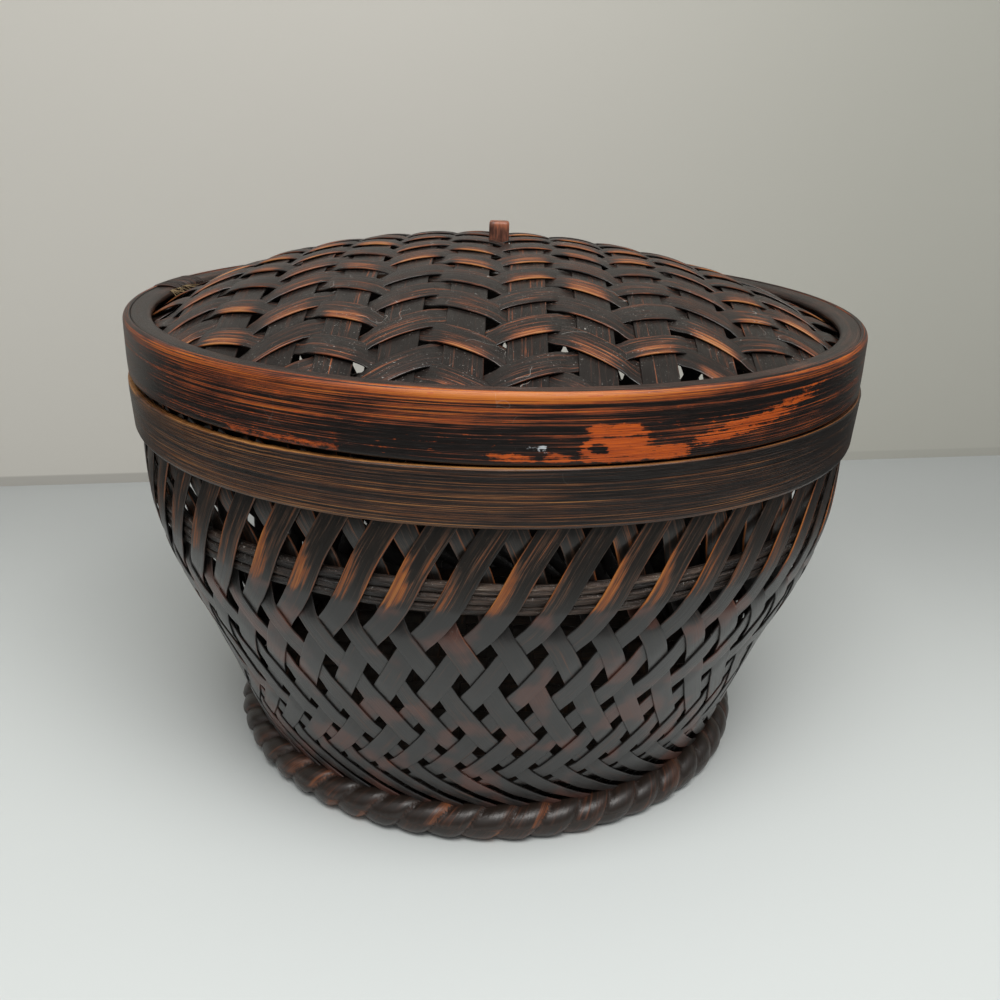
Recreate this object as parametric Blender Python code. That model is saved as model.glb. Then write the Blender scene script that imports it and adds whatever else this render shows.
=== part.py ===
"""Round split-bamboo food basket with a lift-off lid, in metres, +Z up.

The basket stands on z = 0 with its axis on Z, and its front faces -Y. Angles round the axis are
measured from the front towards +X. The wall is an open lattice of two sets of diagonal strips
that rise from the base, spread round a middle ring of cane and are clamped between two hoops.
The lid is a shallow dome of three sets of strips, clamped between hoops of its own.
"""

import cmath
import math

import bmesh
import bpy
import numpy as np

# Clearances and facets
GAP = 0.0003
LAYER_GAP = 0.0006
LID_PLAY = 0.0008
OVERRUN = 0.001
HOOP_SEGMENTS = 48

# Rim, shared by the lid and the body
RIM_RADIUS = 0.1125

# Body hoops
BODY_HEIGHT = 0.1245
BODY_HOOP_HEIGHT = 0.0151
BODY_HOOP_THICKNESS = 0.0025
BODY_HOOP_PROUD = 0.0004
BODY_HOOP_TAPER = 0.0009
BODY_HOOP_ROUND = 0.0007
INNER_HOOP_THICKNESS = 0.0017
COLLAR_THICKNESS = 0.0019
COLLAR_RISE = 0.0065
COLLAR_LEAD_IN = 0.0008

# Strips of the wall
STRIP_COUNT = 53
STRIP_WIDTH = 0.0065
STRIP_FOOT_WIDTH = 0.0050
STRIP_THICKNESS = 0.0008
STRIP_FRONT_ANGLE = math.radians(-2.6)

# Outer face of the wall, from the base to the hoop, as shares of its height and of its spread
BASE_OVERHANG = 0.0004
BASE_RING_WIDTH = 0.0070
WALL_HEIGHT_SHARES = (0.0, 0.117, 0.234, 0.407, 0.518, 0.640, 0.737, 0.803, 1.0)
WALL_SPREAD_SHARES = (0.0, 0.154, 0.295, 0.523, 0.695, 0.856, 0.940, 0.979, 1.0)
# Heights of the rows of gaps, from the foot up, each half a strip pitch further round
ROW_HEIGHT_SHARES = (0.0, 0.041, 0.074, 0.117, 0.168, 0.234, 0.315, 0.404, 0.514, 0.634, 0.732, 0.894, 1.0)
ROW_STEP_SHARES = (-11.2, -10.0, -9.0, -8.0, -7.0, -6.0, -5.0, -4.0, -3.0, -2.0, -1.0, 0.0, 0.77)
# Heights below the ring where a strip's solid bends
BEND_HEIGHT_SHARES = (0.041, 0.18, 0.36, 0.56)

# Middle ring: three split canes, one above the other, between the two sets of strips
RING_HEIGHT_SHARE = 0.80
CANE_COUNT = 3
CANE_HEIGHT = 0.0025
CANE_THICKNESS = 0.0030

# Foot: a rope of wrapped strip ends, cut flat where it stands
FOOT_RADIUS = 0.0812
FOOT_ROPE_RADIUS = 0.0056
FOOT_FLAT = 0.0005
FOOT_SIDES = 8

# Slats under the base
SLAT_WIDTH = 0.0140
SLAT_THICKNESS = 0.0016

# Lid hoops
LID_HOOP_HEIGHT = 0.0172
LID_HOOP_THICKNESS = 0.0021
LID_HOOP_ROUND = 0.0010
RIM_STRIP_WIDTH = 0.0055
RIM_STRIP_THICKNESS = 0.0017
RIM_STRIP_DROP = 0.0010
INNER_HOOP_RECESS = 0.0006

# Strips of the lid
DOME_RISE = 0.0185
LID_STRIP_PITCH = 0.0155
LID_STRIP_WIDTH = 0.0078
LID_STRIP_STEP = 0.0300
# How far apart the slanting strips cross a straight one, where the straight strip right of the knob
# runs, and where the first strip of each slanting set crosses it
LID_ROW_PITCH = 0.0164
LID_STRAIGHT_X = 0.0088
LID_RISING_Y = 0.0086
LID_FALLING_Y = 0.0120
FLANGE_STEP = math.radians(9.0)
FLANGE_EDGE_SHARE = 0.985

# Knob
KNOB_SIDE = 0.0062
KNOB_HEIGHT = 0.0055
KNOB_ROUND = 0.0010
SHANK_SIDE = 0.0026
WASHER_SIDE = 0.0110
WASHER_THICKNESS = 0.0014
KNOB_PIN_SIDE = 0.0009
KNOB_PIN_LENGTH = 0.0080
SHANK_TAIL = 0.0012

# Colours and finish
BLACK_LACQUER = (0.030, 0.026, 0.024)
BROWN_LACQUER = (0.085, 0.045, 0.026)
WORN_CANE = (0.20, 0.155, 0.11)
RED_WOOD = (0.26, 0.085, 0.045)
LACQUER_ROUGHNESS = 0.38
CANE_ROUGHNESS = 0.62
SMOOTH_ANGLE = math.radians(38.0)

# Worked out from the sizes above
ROPE_CENTRE_Z = FOOT_ROPE_RADIUS - FOOT_FLAT
BASE_Z = ROPE_CENTRE_Z + FOOT_ROPE_RADIUS + GAP
BASE_EDGE_RADIUS = FOOT_RADIUS + BASE_OVERHANG
HOOP_BOTTOM_Z = BODY_HEIGHT - BODY_HOOP_HEIGHT
HOOP_SAG = RIM_RADIUS * (1 - math.cos(math.pi / HOOP_SEGMENTS))
LAYER_STEP = STRIP_THICKNESS + GAP
BASE_DISC_RADIUS = BASE_EDGE_RADIUS - LAYER_STEP
BASE_RING_INSIDE = BASE_DISC_RADIUS - BASE_RING_WIDTH
BODY_HOOP_RADIUS = RIM_RADIUS + BODY_HOOP_PROUD
BODY_HOOP_INSIDE = BODY_HOOP_RADIUS - BODY_HOOP_THICKNESS
WALL_TOP_RADIUS = BODY_HOOP_INSIDE - GAP
INNER_HOOP_OUTSIDE = WALL_TOP_RADIUS - 2 * LAYER_STEP
INNER_HOOP_INSIDE = INNER_HOOP_OUTSIDE - INNER_HOOP_THICKNESS
COLLAR_OUTSIDE = INNER_HOOP_INSIDE - GAP
RING_Z = BASE_Z + RING_HEIGHT_SHARE * (HOOP_BOTTOM_Z - BASE_Z)
RING_HEIGHT = CANE_COUNT * CANE_HEIGHT + (CANE_COUNT - 1) * GAP
PITCH_ANGLE = math.tau / STRIP_COUNT
LID_BOTTOM_Z = BODY_HEIGHT + GAP
LID_TOP_Z = LID_BOTTOM_Z + LID_HOOP_HEIGHT
SKIRT_OUTSIDE = RIM_RADIUS - LID_HOOP_THICKNESS - GAP
RIM_STRIP_TOP_Z = LID_TOP_Z - RIM_STRIP_DROP
DOME_EDGE_RADIUS = SKIRT_OUTSIDE - RIM_STRIP_WIDTH
DOME_EDGE_Z = RIM_STRIP_TOP_Z - RIM_STRIP_THICKNESS - GAP
DOME_APEX_Z = LID_TOP_Z + DOME_RISE
DOME_HEIGHT = DOME_APEX_Z - DOME_EDGE_Z
DOME_SPHERE_RADIUS = (DOME_EDGE_RADIUS**2 + DOME_HEIGHT**2) / (2 * DOME_HEIGHT)
LID_LAYER_STEP = STRIP_THICKNESS + LAYER_GAP
LID_STRIP_TURN = math.atan2(LID_STRIP_PITCH, 0.5 * LID_ROW_PITCH)
LID_SLANTING_PITCH = LID_ROW_PITCH * math.sin(LID_STRIP_TURN)
FLANGE_ROOM = SKIRT_OUTSIDE * (1 - math.cos(0.6 * FLANGE_STEP))
INNER_FLANGE_OUTSIDE = SKIRT_OUTSIDE - STRIP_THICKNESS - FLANGE_ROOM - GAP
FLANGE_BOTTOM_Z = DOME_EDGE_Z - 2 * LID_LAYER_STEP - STRIP_THICKNESS
LID_INNER_HOOP_BOTTOM_Z = LID_BOTTOM_Z + INNER_HOOP_RECESS
SHANK_HOLE_SIDE = SHANK_SIDE + 2 * GAP


def material(name, colour, roughness):
    """A Principled material of one colour."""
    made = bpy.data.materials.new(name)
    made.use_nodes = True
    shader = made.node_tree.nodes["Principled BSDF"]
    shader.inputs["Base Color"].default_value = (*colour, 1.0)
    shader.inputs["Roughness"].default_value = roughness
    made.diffuse_color = (*colour, 1.0)
    return made


def add_object(name, mesh, colour, roughness=LACQUER_ROUGHNESS, smooth=False, parent=None):
    """Link a mesh as one named object with a material of its own."""
    made = bpy.data.objects.new(name, mesh)
    mesh.materials.append(material(name + "_finish", colour, roughness))
    if smooth:
        mesh.shade_smooth()
        mesh.set_sharp_from_angle(angle=SMOOTH_ANGLE)
    made.parent = parent
    bpy.context.collection.objects.link(made)
    return made


def mesh_from(name, points, faces):
    """A mesh from points and faces, with its normals turned outwards."""
    mesh = bpy.data.meshes.new(name)
    mesh.from_pydata([tuple(point) for point in points], [], faces)
    shape = bmesh.new()
    shape.from_mesh(mesh)
    bmesh.ops.recalc_face_normals(shape, faces=shape.faces)
    shape.to_mesh(mesh)
    shape.free()
    return mesh


def polar(radius, angle, z):
    """A point at this radius and height, with the angle measured from the front towards +X."""
    return (radius * math.sin(angle), -radius * math.cos(angle), z)


def turned_ring(name, profile, segments=HOOP_SEGMENTS):
    """Spin a closed profile of (radius, z) corners round the Z axis."""
    shape = bmesh.new()
    corners = [shape.verts.new((radius, 0.0, z)) for radius, z in profile]
    edges = [shape.edges.new((corner, corners[index - 1])) for index, corner in enumerate(corners)]
    bmesh.ops.spin(
        shape,
        geom=edges,
        cent=(0.0, 0.0, 0.0),
        axis=(0.0, 0.0, 1.0),
        angle=math.tau,
        steps=segments,
        use_merge=True,
    )
    bmesh.ops.recalc_face_normals(shape, faces=shape.faces)
    mesh = bpy.data.meshes.new(name)
    shape.to_mesh(mesh)
    shape.free()
    return mesh


def box(name, size_x, size_y, size_z, centre):
    """A rectangular block of these sizes about its centre."""
    shape = bmesh.new()
    bmesh.ops.create_cube(shape, size=1.0)
    bmesh.ops.scale(shape, vec=(size_x, size_y, size_z), verts=shape.verts)
    bmesh.ops.translate(shape, vec=centre, verts=shape.verts)
    mesh = bpy.data.meshes.new(name)
    shape.to_mesh(mesh)
    shape.free()
    return mesh


def cut_through(target, cutter_mesh):
    """Cut a hole of the cutter's shape in the target."""
    cutter = bpy.data.objects.new(cutter_mesh.name, cutter_mesh)
    cutter.hide_render = True
    cutter.display_type = "WIRE"
    bpy.context.collection.objects.link(cutter)
    cut = target.modifiers.new("hole", "BOOLEAN")
    cut.operation = "DIFFERENCE"
    cut.solver = "EXACT"
    cut.object = cutter


def smooth_curve(knots, values, at):
    """Read a curve through the knots that never swings past its values."""
    knots = np.asarray(knots, float)
    values = np.asarray(values, float)
    steps = np.diff(knots)
    slopes = np.diff(values) / steps
    tangents = np.empty_like(values)
    tangents[0] = slopes[0]
    tangents[-1] = slopes[-1]
    tangents[1:-1] = 2 * slopes[:-1] * slopes[1:] / (slopes[:-1] + slopes[1:])
    at = min(max(at, knots[0]), knots[-1])
    index = min(int(np.searchsorted(knots, at, side="right")) - 1, len(steps) - 1)
    step = steps[index]
    along = (at - knots[index]) / step
    return float(
        values[index] * (1 + 2 * along) * (1 - along) ** 2
        + tangents[index] * step * along * (1 - along) ** 2
        + values[index + 1] * along**2 * (3 - 2 * along)
        + tangents[index + 1] * step * along**2 * (along - 1)
    )


def wall_height(share):
    """The height at this share of the wall, from its base to the hoop."""
    return BASE_Z + share * (HOOP_BOTTOM_Z - BASE_Z)


def wall_share(z):
    """The share of the wall's height that this height lies at."""
    return (z - BASE_Z) / (HOOP_BOTTOM_Z - BASE_Z)


def wall_radius(z):
    """The radius of the wall's outer face at this height."""
    spread = smooth_curve(WALL_HEIGHT_SHARES, WALL_SPREAD_SHARES, wall_share(z))
    return BASE_EDGE_RADIUS + spread * (WALL_TOP_RADIUS - BASE_EDGE_RADIUS)


def wall_turn(z):
    """The angle that a strip has gone round at this height, from the top row of gaps."""
    share = wall_share(z)
    steps = smooth_curve(ROW_HEIGHT_SHARES, ROW_STEP_SHARES, share)
    top_rate = (ROW_STEP_SHARES[-1] - ROW_STEP_SHARES[-2]) / (ROW_HEIGHT_SHARES[-1] - ROW_HEIGHT_SHARES[-2])
    return 0.5 * PITCH_ANGLE * (steps + max(share - 1.0, 0.0) * top_rate)


def wall_slant(z):
    """How much longer the wall is than it is high, at this height."""
    reach = 0.5 * STRIP_WIDTH
    return math.hypot(2 * reach, wall_radius(z + reach) - wall_radius(z - reach)) / (2 * reach)


def strip_half_angle(z):
    """Half the angle that a leaning strip takes up at this height; strips taper in at the foot."""
    widening = min(max(wall_share(z) / BEND_HEIGHT_SHARES[1], 0.0), 1.0)
    width = STRIP_FOOT_WIDTH + widening * (STRIP_WIDTH - STRIP_FOOT_WIDTH)
    reach = 0.5 * STRIP_WIDTH
    sideways = wall_radius(z) * (wall_turn(z + reach) - wall_turn(z - reach))
    lean = math.atan2(sideways, 2 * reach * wall_slant(z))
    return 0.5 * width / math.cos(lean) / wall_radius(z)


def strip_levels():
    """The heights where both sets of strips bend, so that their flats lie side by side."""
    levels = [wall_height(share) for share in BEND_HEIGHT_SHARES]
    return levels + [RING_Z, HOOP_BOTTOM_Z - GAP, BODY_HEIGHT - GAP]


def flat_radius(z):
    """The radius of the outer strips' outer face at this height, on the flats between two levels."""
    levels = strip_levels()
    index = max(i for i, level in enumerate(levels[:-1]) if level <= z)
    low = levels[index]
    high = levels[index + 1]
    share = (z - low) / (high - low)
    start = cmath.rect(wall_radius(low), wall_turn(low))
    end = cmath.rect(wall_radius(high), wall_turn(high))
    return abs(start + share * (end - start))


def ring_push():
    """How far the inner strips bow inwards at the ring, to clear both of its edges."""
    levels = strip_levels()
    place = levels.index(RING_Z)
    nearest = min(RING_Z - levels[place - 1], levels[place + 1] - RING_Z)
    lost = 0.5 * RING_HEIGHT / nearest
    return (CANE_THICKNESS + GAP + HOOP_SAG) / (1.0 - lost)


def wall_path(layer, edge_radius, edge_bottom, push):
    """The corners of a wall strip from the edge of its base ring to its end between the hoops.

    Each step gives the (radius, z) of the outer and of the inner corner, the angle gone round,
    and half the angle that the strip takes up.
    """
    levels = strip_levels()
    turn = wall_turn(levels[0])
    half = strip_half_angle(levels[0])
    path = [((edge_radius, edge_bottom), (edge_radius, edge_bottom + STRIP_THICKNESS), turn, half)]
    for z in levels:
        outside = wall_radius(z) - layer * LAYER_STEP * wall_slant(z)
        if z == RING_Z:
            outside -= push
        inside = outside - STRIP_THICKNESS * wall_slant(z)
        path.append(((outside, z), (inside, z), wall_turn(z), strip_half_angle(z)))
    return path


def strips_on_ring(name, path, direction):
    """Strips that grow out of the edge of a flat base ring and rise along one path, as one solid.

    direction is +1 where the strips lean to the right as they rise, and -1 to the left. The
    flats of the right-leaning set are folded outwards and of the left-leaning set inwards, so
    that the two sets stay clear of each other.
    """
    points = []
    faces = []
    per_strip = 4 * len(path) + 2
    starts = [index * per_strip for index in range(STRIP_COUNT)]
    for index, start in enumerate(starts):
        middle = STRIP_FRONT_ANGLE + index * PITCH_ANGLE
        for outer, inner, turn, half in path:
            for side in (-1, 1):
                angle = middle + direction * turn + side * half
                points.append(polar(outer[0], angle, outer[1]))
                points.append(polar(inner[0], angle, inner[1]))
        (_, ring_bottom), (_, ring_top), turn, _ = path[0]
        points.append(polar(BASE_RING_INSIDE, middle + direction * turn, ring_bottom))
        points.append(polar(BASE_RING_INSIDE, middle + direction * turn, ring_top))

        for cut in range(len(path) - 1):
            a = start + 4 * cut
            b = a + 4
            for low_left, low_right, high_left, high_right in ((a, a + 2, b, b + 2), (a + 1, a + 3, b + 1, b + 3)):
                faces.append((low_left, low_right, high_left))
                faces.append((low_right, high_right, high_left))
            faces.append((a, a + 1, b + 1, b))
            faces.append((a + 2, b + 2, b + 3, a + 3))
        last = start + 4 * (len(path) - 1)
        faces.append((last, last + 1, last + 3, last + 2))

        following = starts[(index + 1) % STRIP_COUNT]
        inner = start + per_strip - 2
        next_inner = following + per_strip - 2
        faces.append((start + 2, start + 3, following + 1, following))
        faces.append((start, start + 2, following, next_inner, inner))
        faces.append((start + 1, inner + 1, next_inner + 1, following + 1, start + 3))
        faces.append((inner, next_inner, next_inner + 1, inner + 1))
    return mesh_from(name, points, faces)


def wall_strips():
    """Both sets of wall strips, each with its ring of the base."""
    inner_edge = BASE_DISC_RADIUS - 2 * LAYER_STEP
    outer_path = wall_path(0, BASE_DISC_RADIUS, BASE_Z, 0.0)
    inner_path = wall_path(1, inner_edge, BASE_Z + LAYER_STEP, ring_push())
    add_object("wall_strips_outer", strips_on_ring("wall_strips_outer", outer_path, 1), BLACK_LACQUER)
    add_object("wall_strips_inner", strips_on_ring("wall_strips_inner", inner_path, -1), BLACK_LACQUER)


def base_mat():
    """The flat woven base inside the rings of the wall strips."""
    depth = LAYER_STEP + STRIP_THICKNESS
    radius = BASE_RING_INSIDE * math.cos(math.pi / STRIP_COUNT) - GAP
    shape = bmesh.new()
    bmesh.ops.create_cone(
        shape, cap_ends=True, segments=HOOP_SEGMENTS, radius1=radius, radius2=radius, depth=depth
    )
    bmesh.ops.translate(shape, vec=(0.0, 0.0, BASE_Z + 0.5 * depth), verts=shape.verts)
    mesh = bpy.data.meshes.new("base_mat")
    shape.to_mesh(mesh)
    shape.free()
    add_object("base_mat", mesh, BROWN_LACQUER)


def middle_ring():
    """Three split canes, held where the two sets of strips part."""
    bottom = RING_Z - 0.5 * RING_HEIGHT
    for index in range(CANE_COUNT):
        low = bottom + index * (CANE_HEIGHT + GAP)
        high = low + CANE_HEIGHT
        inset = STRIP_THICKNESS * wall_slant(low) + GAP
        lower = flat_radius(low) - inset
        upper = flat_radius(high) - inset
        profile = [
            (lower - CANE_THICKNESS, low),
            (lower, low),
            (upper, high),
            (lower - CANE_THICKNESS, high),
        ]
        name = f"ring_cane_{index + 1}"
        add_object(name, turned_ring(name, profile), WORN_CANE, CANE_ROUGHNESS, True)


def foot_rope():
    """The round foot, flat underneath."""
    profile = []
    for side in range(FOOT_SIDES):
        angle = math.tau * (side + 0.5) / FOOT_SIDES
        reach = FOOT_ROPE_RADIUS / math.cos(math.pi / FOOT_SIDES)
        z = ROPE_CENTRE_Z + reach * math.sin(angle)
        profile.append((FOOT_RADIUS + reach * math.cos(angle), max(z, 0.0)))
    add_object("foot_rope", turned_ring("foot_rope", profile), BROWN_LACQUER, smooth=True)


def base_slats():
    """Two crossed slats under the base, held inside the foot."""
    length = 2 * (FOOT_RADIUS - FOOT_ROPE_RADIUS / math.cos(math.pi / FOOT_SIDES) - HOOP_SAG - GAP)
    upper_z = BASE_Z - GAP - 0.5 * SLAT_THICKNESS
    lower_z = upper_z - SLAT_THICKNESS - GAP
    upper = box("base_slat_upper", length, SLAT_WIDTH, SLAT_THICKNESS, (0.0, 0.0, upper_z))
    lower = box("base_slat_lower", SLAT_WIDTH, length, SLAT_THICKNESS, (0.0, 0.0, lower_z))
    add_object("base_slat_upper", upper, BROWN_LACQUER)
    add_object("base_slat_lower", lower, BROWN_LACQUER)


def body_hoops():
    """The outer hoop, the inner hoop that clamps the strips, and the collar that seats the lid."""
    lower_radius = BODY_HOOP_RADIUS - BODY_HOOP_TAPER
    outer = [
        (BODY_HOOP_INSIDE, HOOP_BOTTOM_Z),
        (lower_radius - BODY_HOOP_ROUND, HOOP_BOTTOM_Z),
        (lower_radius, HOOP_BOTTOM_Z + BODY_HOOP_ROUND),
        (BODY_HOOP_RADIUS, BODY_HEIGHT - BODY_HOOP_ROUND),
        (BODY_HOOP_RADIUS - BODY_HOOP_ROUND, BODY_HEIGHT),
        (BODY_HOOP_INSIDE, BODY_HEIGHT),
    ]
    inner = [
        (INNER_HOOP_INSIDE, HOOP_BOTTOM_Z + GAP),
        (INNER_HOOP_OUTSIDE, HOOP_BOTTOM_Z + GAP),
        (INNER_HOOP_OUTSIDE, BODY_HEIGHT),
        (INNER_HOOP_INSIDE, BODY_HEIGHT),
    ]
    collar_inside = COLLAR_OUTSIDE - COLLAR_THICKNESS
    collar_top = BODY_HEIGHT + COLLAR_RISE
    collar = [
        (collar_inside, HOOP_BOTTOM_Z),
        (COLLAR_OUTSIDE, HOOP_BOTTOM_Z),
        (COLLAR_OUTSIDE, collar_top - COLLAR_LEAD_IN),
        (COLLAR_OUTSIDE - COLLAR_LEAD_IN, collar_top),
        (collar_inside, collar_top),
    ]
    add_object("body_outer_hoop", turned_ring("body_outer_hoop", outer), BLACK_LACQUER, smooth=True)
    add_object("body_inner_hoop", turned_ring("body_inner_hoop", inner), BROWN_LACQUER, smooth=True)
    add_object("lid_seat_collar", turned_ring("lid_seat_collar", collar), BROWN_LACQUER, smooth=True)


def lid_hoops(lid):
    """The lid's outer hoop, its inner hoop, and the flat strip over the ends of its weave."""
    hoop_inside = RIM_RADIUS - LID_HOOP_THICKNESS
    outer = [
        (hoop_inside, LID_BOTTOM_Z),
        (RIM_RADIUS, LID_BOTTOM_Z),
        (RIM_RADIUS, LID_TOP_Z - LID_HOOP_ROUND),
        (RIM_RADIUS - 0.3 * LID_HOOP_ROUND, LID_TOP_Z - 0.3 * LID_HOOP_ROUND),
        (RIM_RADIUS - LID_HOOP_ROUND, LID_TOP_Z),
        (hoop_inside, LID_TOP_Z),
    ]
    inner_inside = COLLAR_OUTSIDE + LID_PLAY
    inner_top = FLANGE_BOTTOM_Z - GAP
    inner = [
        (inner_inside, LID_INNER_HOOP_BOTTOM_Z),
        (INNER_FLANGE_OUTSIDE, LID_INNER_HOOP_BOTTOM_Z),
        (INNER_FLANGE_OUTSIDE, inner_top),
        (inner_inside, inner_top),
    ]
    strip_bottom = RIM_STRIP_TOP_Z - RIM_STRIP_THICKNESS
    rim_strip = [
        (DOME_EDGE_RADIUS, strip_bottom),
        (SKIRT_OUTSIDE, strip_bottom),
        (SKIRT_OUTSIDE, RIM_STRIP_TOP_Z),
        (DOME_EDGE_RADIUS, RIM_STRIP_TOP_Z),
    ]
    add_object("lid_outer_hoop", turned_ring("lid_outer_hoop", outer), BLACK_LACQUER, smooth=True, parent=lid)
    add_object("lid_inner_hoop", turned_ring("lid_inner_hoop", inner), BROWN_LACQUER, smooth=True, parent=lid)
    add_object("lid_rim_strip", turned_ring("lid_rim_strip", rim_strip), BLACK_LACQUER, smooth=True, parent=lid)


def dome_top(x, y, layer):
    """The height of a layer's upper face on the dome."""
    edge = math.sqrt(DOME_SPHERE_RADIUS**2 - DOME_EDGE_RADIUS**2)
    here = math.sqrt(DOME_SPHERE_RADIUS**2 - x**2 - y**2)
    return DOME_EDGE_Z + here - edge - layer * LID_LAYER_STEP


def strip_offsets(turn, pitch, crossing_y):
    """Where the strips of one set cross the dome, each a pitch from the next.

    One of them crosses the straight strip right of the knob at this y.
    """
    limit = FLANGE_EDGE_SHARE * DOME_EDGE_RADIUS - 0.5 * LID_STRIP_WIDTH
    most = int(DOME_EDGE_RADIUS / pitch) + 1
    first = LID_STRAIGHT_X * math.cos(turn) + crossing_y * math.sin(turn)
    offsets = [first + index * pitch for index in range(-most, most + 1)]
    return [offset for offset in offsets if abs(offset) < limit]


def lid_strip_set(name, layer, turn, pitch, crossing_y, flange):
    """One set of lid strips with the flange that is clamped under the rim strip, as one solid.

    The strips run along the set's own Y axis, which is turned about Z. flange is the section of
    the flange from its outer top corner round to its outer bottom corner.
    """
    half = 0.5 * LID_STRIP_WIDTH
    offsets = strip_offsets(turn, pitch, crossing_y)
    ends = []
    for index, offset in enumerate(offsets):
        near = math.asin((offset - half) / DOME_EDGE_RADIUS)
        far = math.asin((offset + half) / DOME_EDGE_RADIUS)
        ends.append((near % math.tau, far - near, index, 1))
        ends.append(((math.pi - far) % math.tau, far - near, index, -1))
    ends.sort()

    angles = []
    open_sections = {}
    for place, (start, span, index, side) in enumerate(ends):
        open_sections[(index, side)] = len(angles)
        angles += [start, start + span]
        following = ends[(place + 1) % len(ends)][0]
        room = (following - start - span) % math.tau
        fill = math.ceil(room / FLANGE_STEP)
        angles += [start + span + room * step / fill for step in range(1, fill)]

    edge_top = dome_top(DOME_EDGE_RADIUS, 0.0, layer)
    section = [(DOME_EDGE_RADIUS, edge_top)] + flange + [(DOME_EDGE_RADIUS, edge_top - STRIP_THICKNESS)]
    size = len(section)
    points = []
    for angle in angles:
        for radius, z in section:
            points.append((radius * math.sin(angle), radius * math.cos(angle), z))
    faces = []
    openings = set(open_sections.values())
    for place in range(len(angles)):
        a = place * size
        b = (place + 1) % len(angles) * size
        for corner in range(size - 1):
            faces.append((a + corner, a + corner + 1, b + corner + 1, b + corner))
        if place not in openings:
            faces.append((a, b, b + size - 1, a + size - 1))

    for index, offset in enumerate(offsets):
        first = open_sections[(index, -1)]
        last = open_sections[(index, 1)]
        after_first = (first + 1) % len(angles)
        after_last = (last + 1) % len(angles)
        rings = [(after_first * size, first * size, first * size + size - 1, after_first * size + size - 1)]
        reach = math.sqrt(DOME_EDGE_RADIUS**2 - offset**2)
        steps = math.ceil(2 * reach / LID_STRIP_STEP)
        for step in range(1, steps):
            y = -reach + 2 * reach * step / steps
            base = len(points)
            for x, drop in ((offset - half, 0.0), (offset + half, 0.0), (offset + half, 1.0), (offset - half, 1.0)):
                points.append((x, y, dome_top(x, y, layer) - drop * STRIP_THICKNESS))
            rings.append((base, base + 1, base + 2, base + 3))
        rings.append((last * size, after_last * size, after_last * size + size - 1, last * size + size - 1))
        for lower, upper in zip(rings, rings[1:]):
            for corner in range(4):
                following = (corner + 1) % 4
                faces.append((lower[corner], lower[following], upper[following], upper[corner]))

    cosine = math.cos(turn)
    sine = math.sin(turn)
    turned = [(x * cosine - y * sine, x * sine + y * cosine, z) for x, y, z in points]
    return mesh_from(name, turned, faces)


def lid_strips(lid):
    """The three sets of strips that cross on the dome, and the skirt that the middle set bends into."""
    top = [dome_top(DOME_EDGE_RADIUS, 0.0, layer) for layer in range(3)]
    plain = [(SKIRT_OUTSIDE, top[0]), (SKIRT_OUTSIDE, top[0] - STRIP_THICKNESS)]
    skirted = [
        (SKIRT_OUTSIDE, top[1]),
        (SKIRT_OUTSIDE, LID_INNER_HOOP_BOTTOM_Z),
        (SKIRT_OUTSIDE - STRIP_THICKNESS, LID_INNER_HOOP_BOTTOM_Z),
        (SKIRT_OUTSIDE - STRIP_THICKNESS, top[1] - STRIP_THICKNESS),
    ]
    narrow = [(INNER_FLANGE_OUTSIDE, top[2]), (INNER_FLANGE_OUTSIDE, top[2] - STRIP_THICKNESS)]
    slanting = LID_SLANTING_PITCH
    rising = lid_strip_set("lid_strips_rising", 0, -LID_STRIP_TURN, slanting, LID_RISING_Y, plain)
    straight = lid_strip_set("lid_strips_straight", 1, 0.0, LID_STRIP_PITCH, 0.0, skirted)
    falling = lid_strip_set("lid_strips_falling", 2, LID_STRIP_TURN, slanting, LID_FALLING_Y, narrow)
    add_object("lid_strips_straight", straight, BLACK_LACQUER, parent=lid)
    depth = STRIP_THICKNESS + LID_LAYER_STEP
    for name, mesh, layer in (("lid_strips_rising", rising, 0), ("lid_strips_falling", falling, 2)):
        pierced = add_object(name, mesh, BLACK_LACQUER, parent=lid)
        middle = (0.0, 0.0, DOME_APEX_Z - layer * LID_LAYER_STEP - 0.5 * STRIP_THICKNESS)
        cut_through(pierced, box(f"shank_hole_{layer}", SHANK_HOLE_SIDE, SHANK_HOLE_SIDE, depth, middle))


def square_turning(name, profile):
    """A square peg from its half widths at each height, top to bottom, with its corners eased."""
    points = []
    faces = []
    for half, z in profile:
        ease = 0.25 * half
        points += [
            (half - ease, -half, z),
            (half, ease - half, z),
            (half, half - ease, z),
            (half - ease, half, z),
            (ease - half, half, z),
            (-half, half - ease, z),
            (-half, ease - half, z),
            (ease - half, -half, z),
        ]
    for level in range(len(profile) - 1):
        for corner in range(8):
            following = (corner + 1) % 8
            a = 8 * level
            faces.append((a + corner, a + following, a + 8 + following, a + 8 + corner))
    faces.append(tuple(range(8)))
    faces.append(tuple(range(len(points) - 1, len(points) - 9, -1)))
    return mesh_from(name, points, faces)


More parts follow.
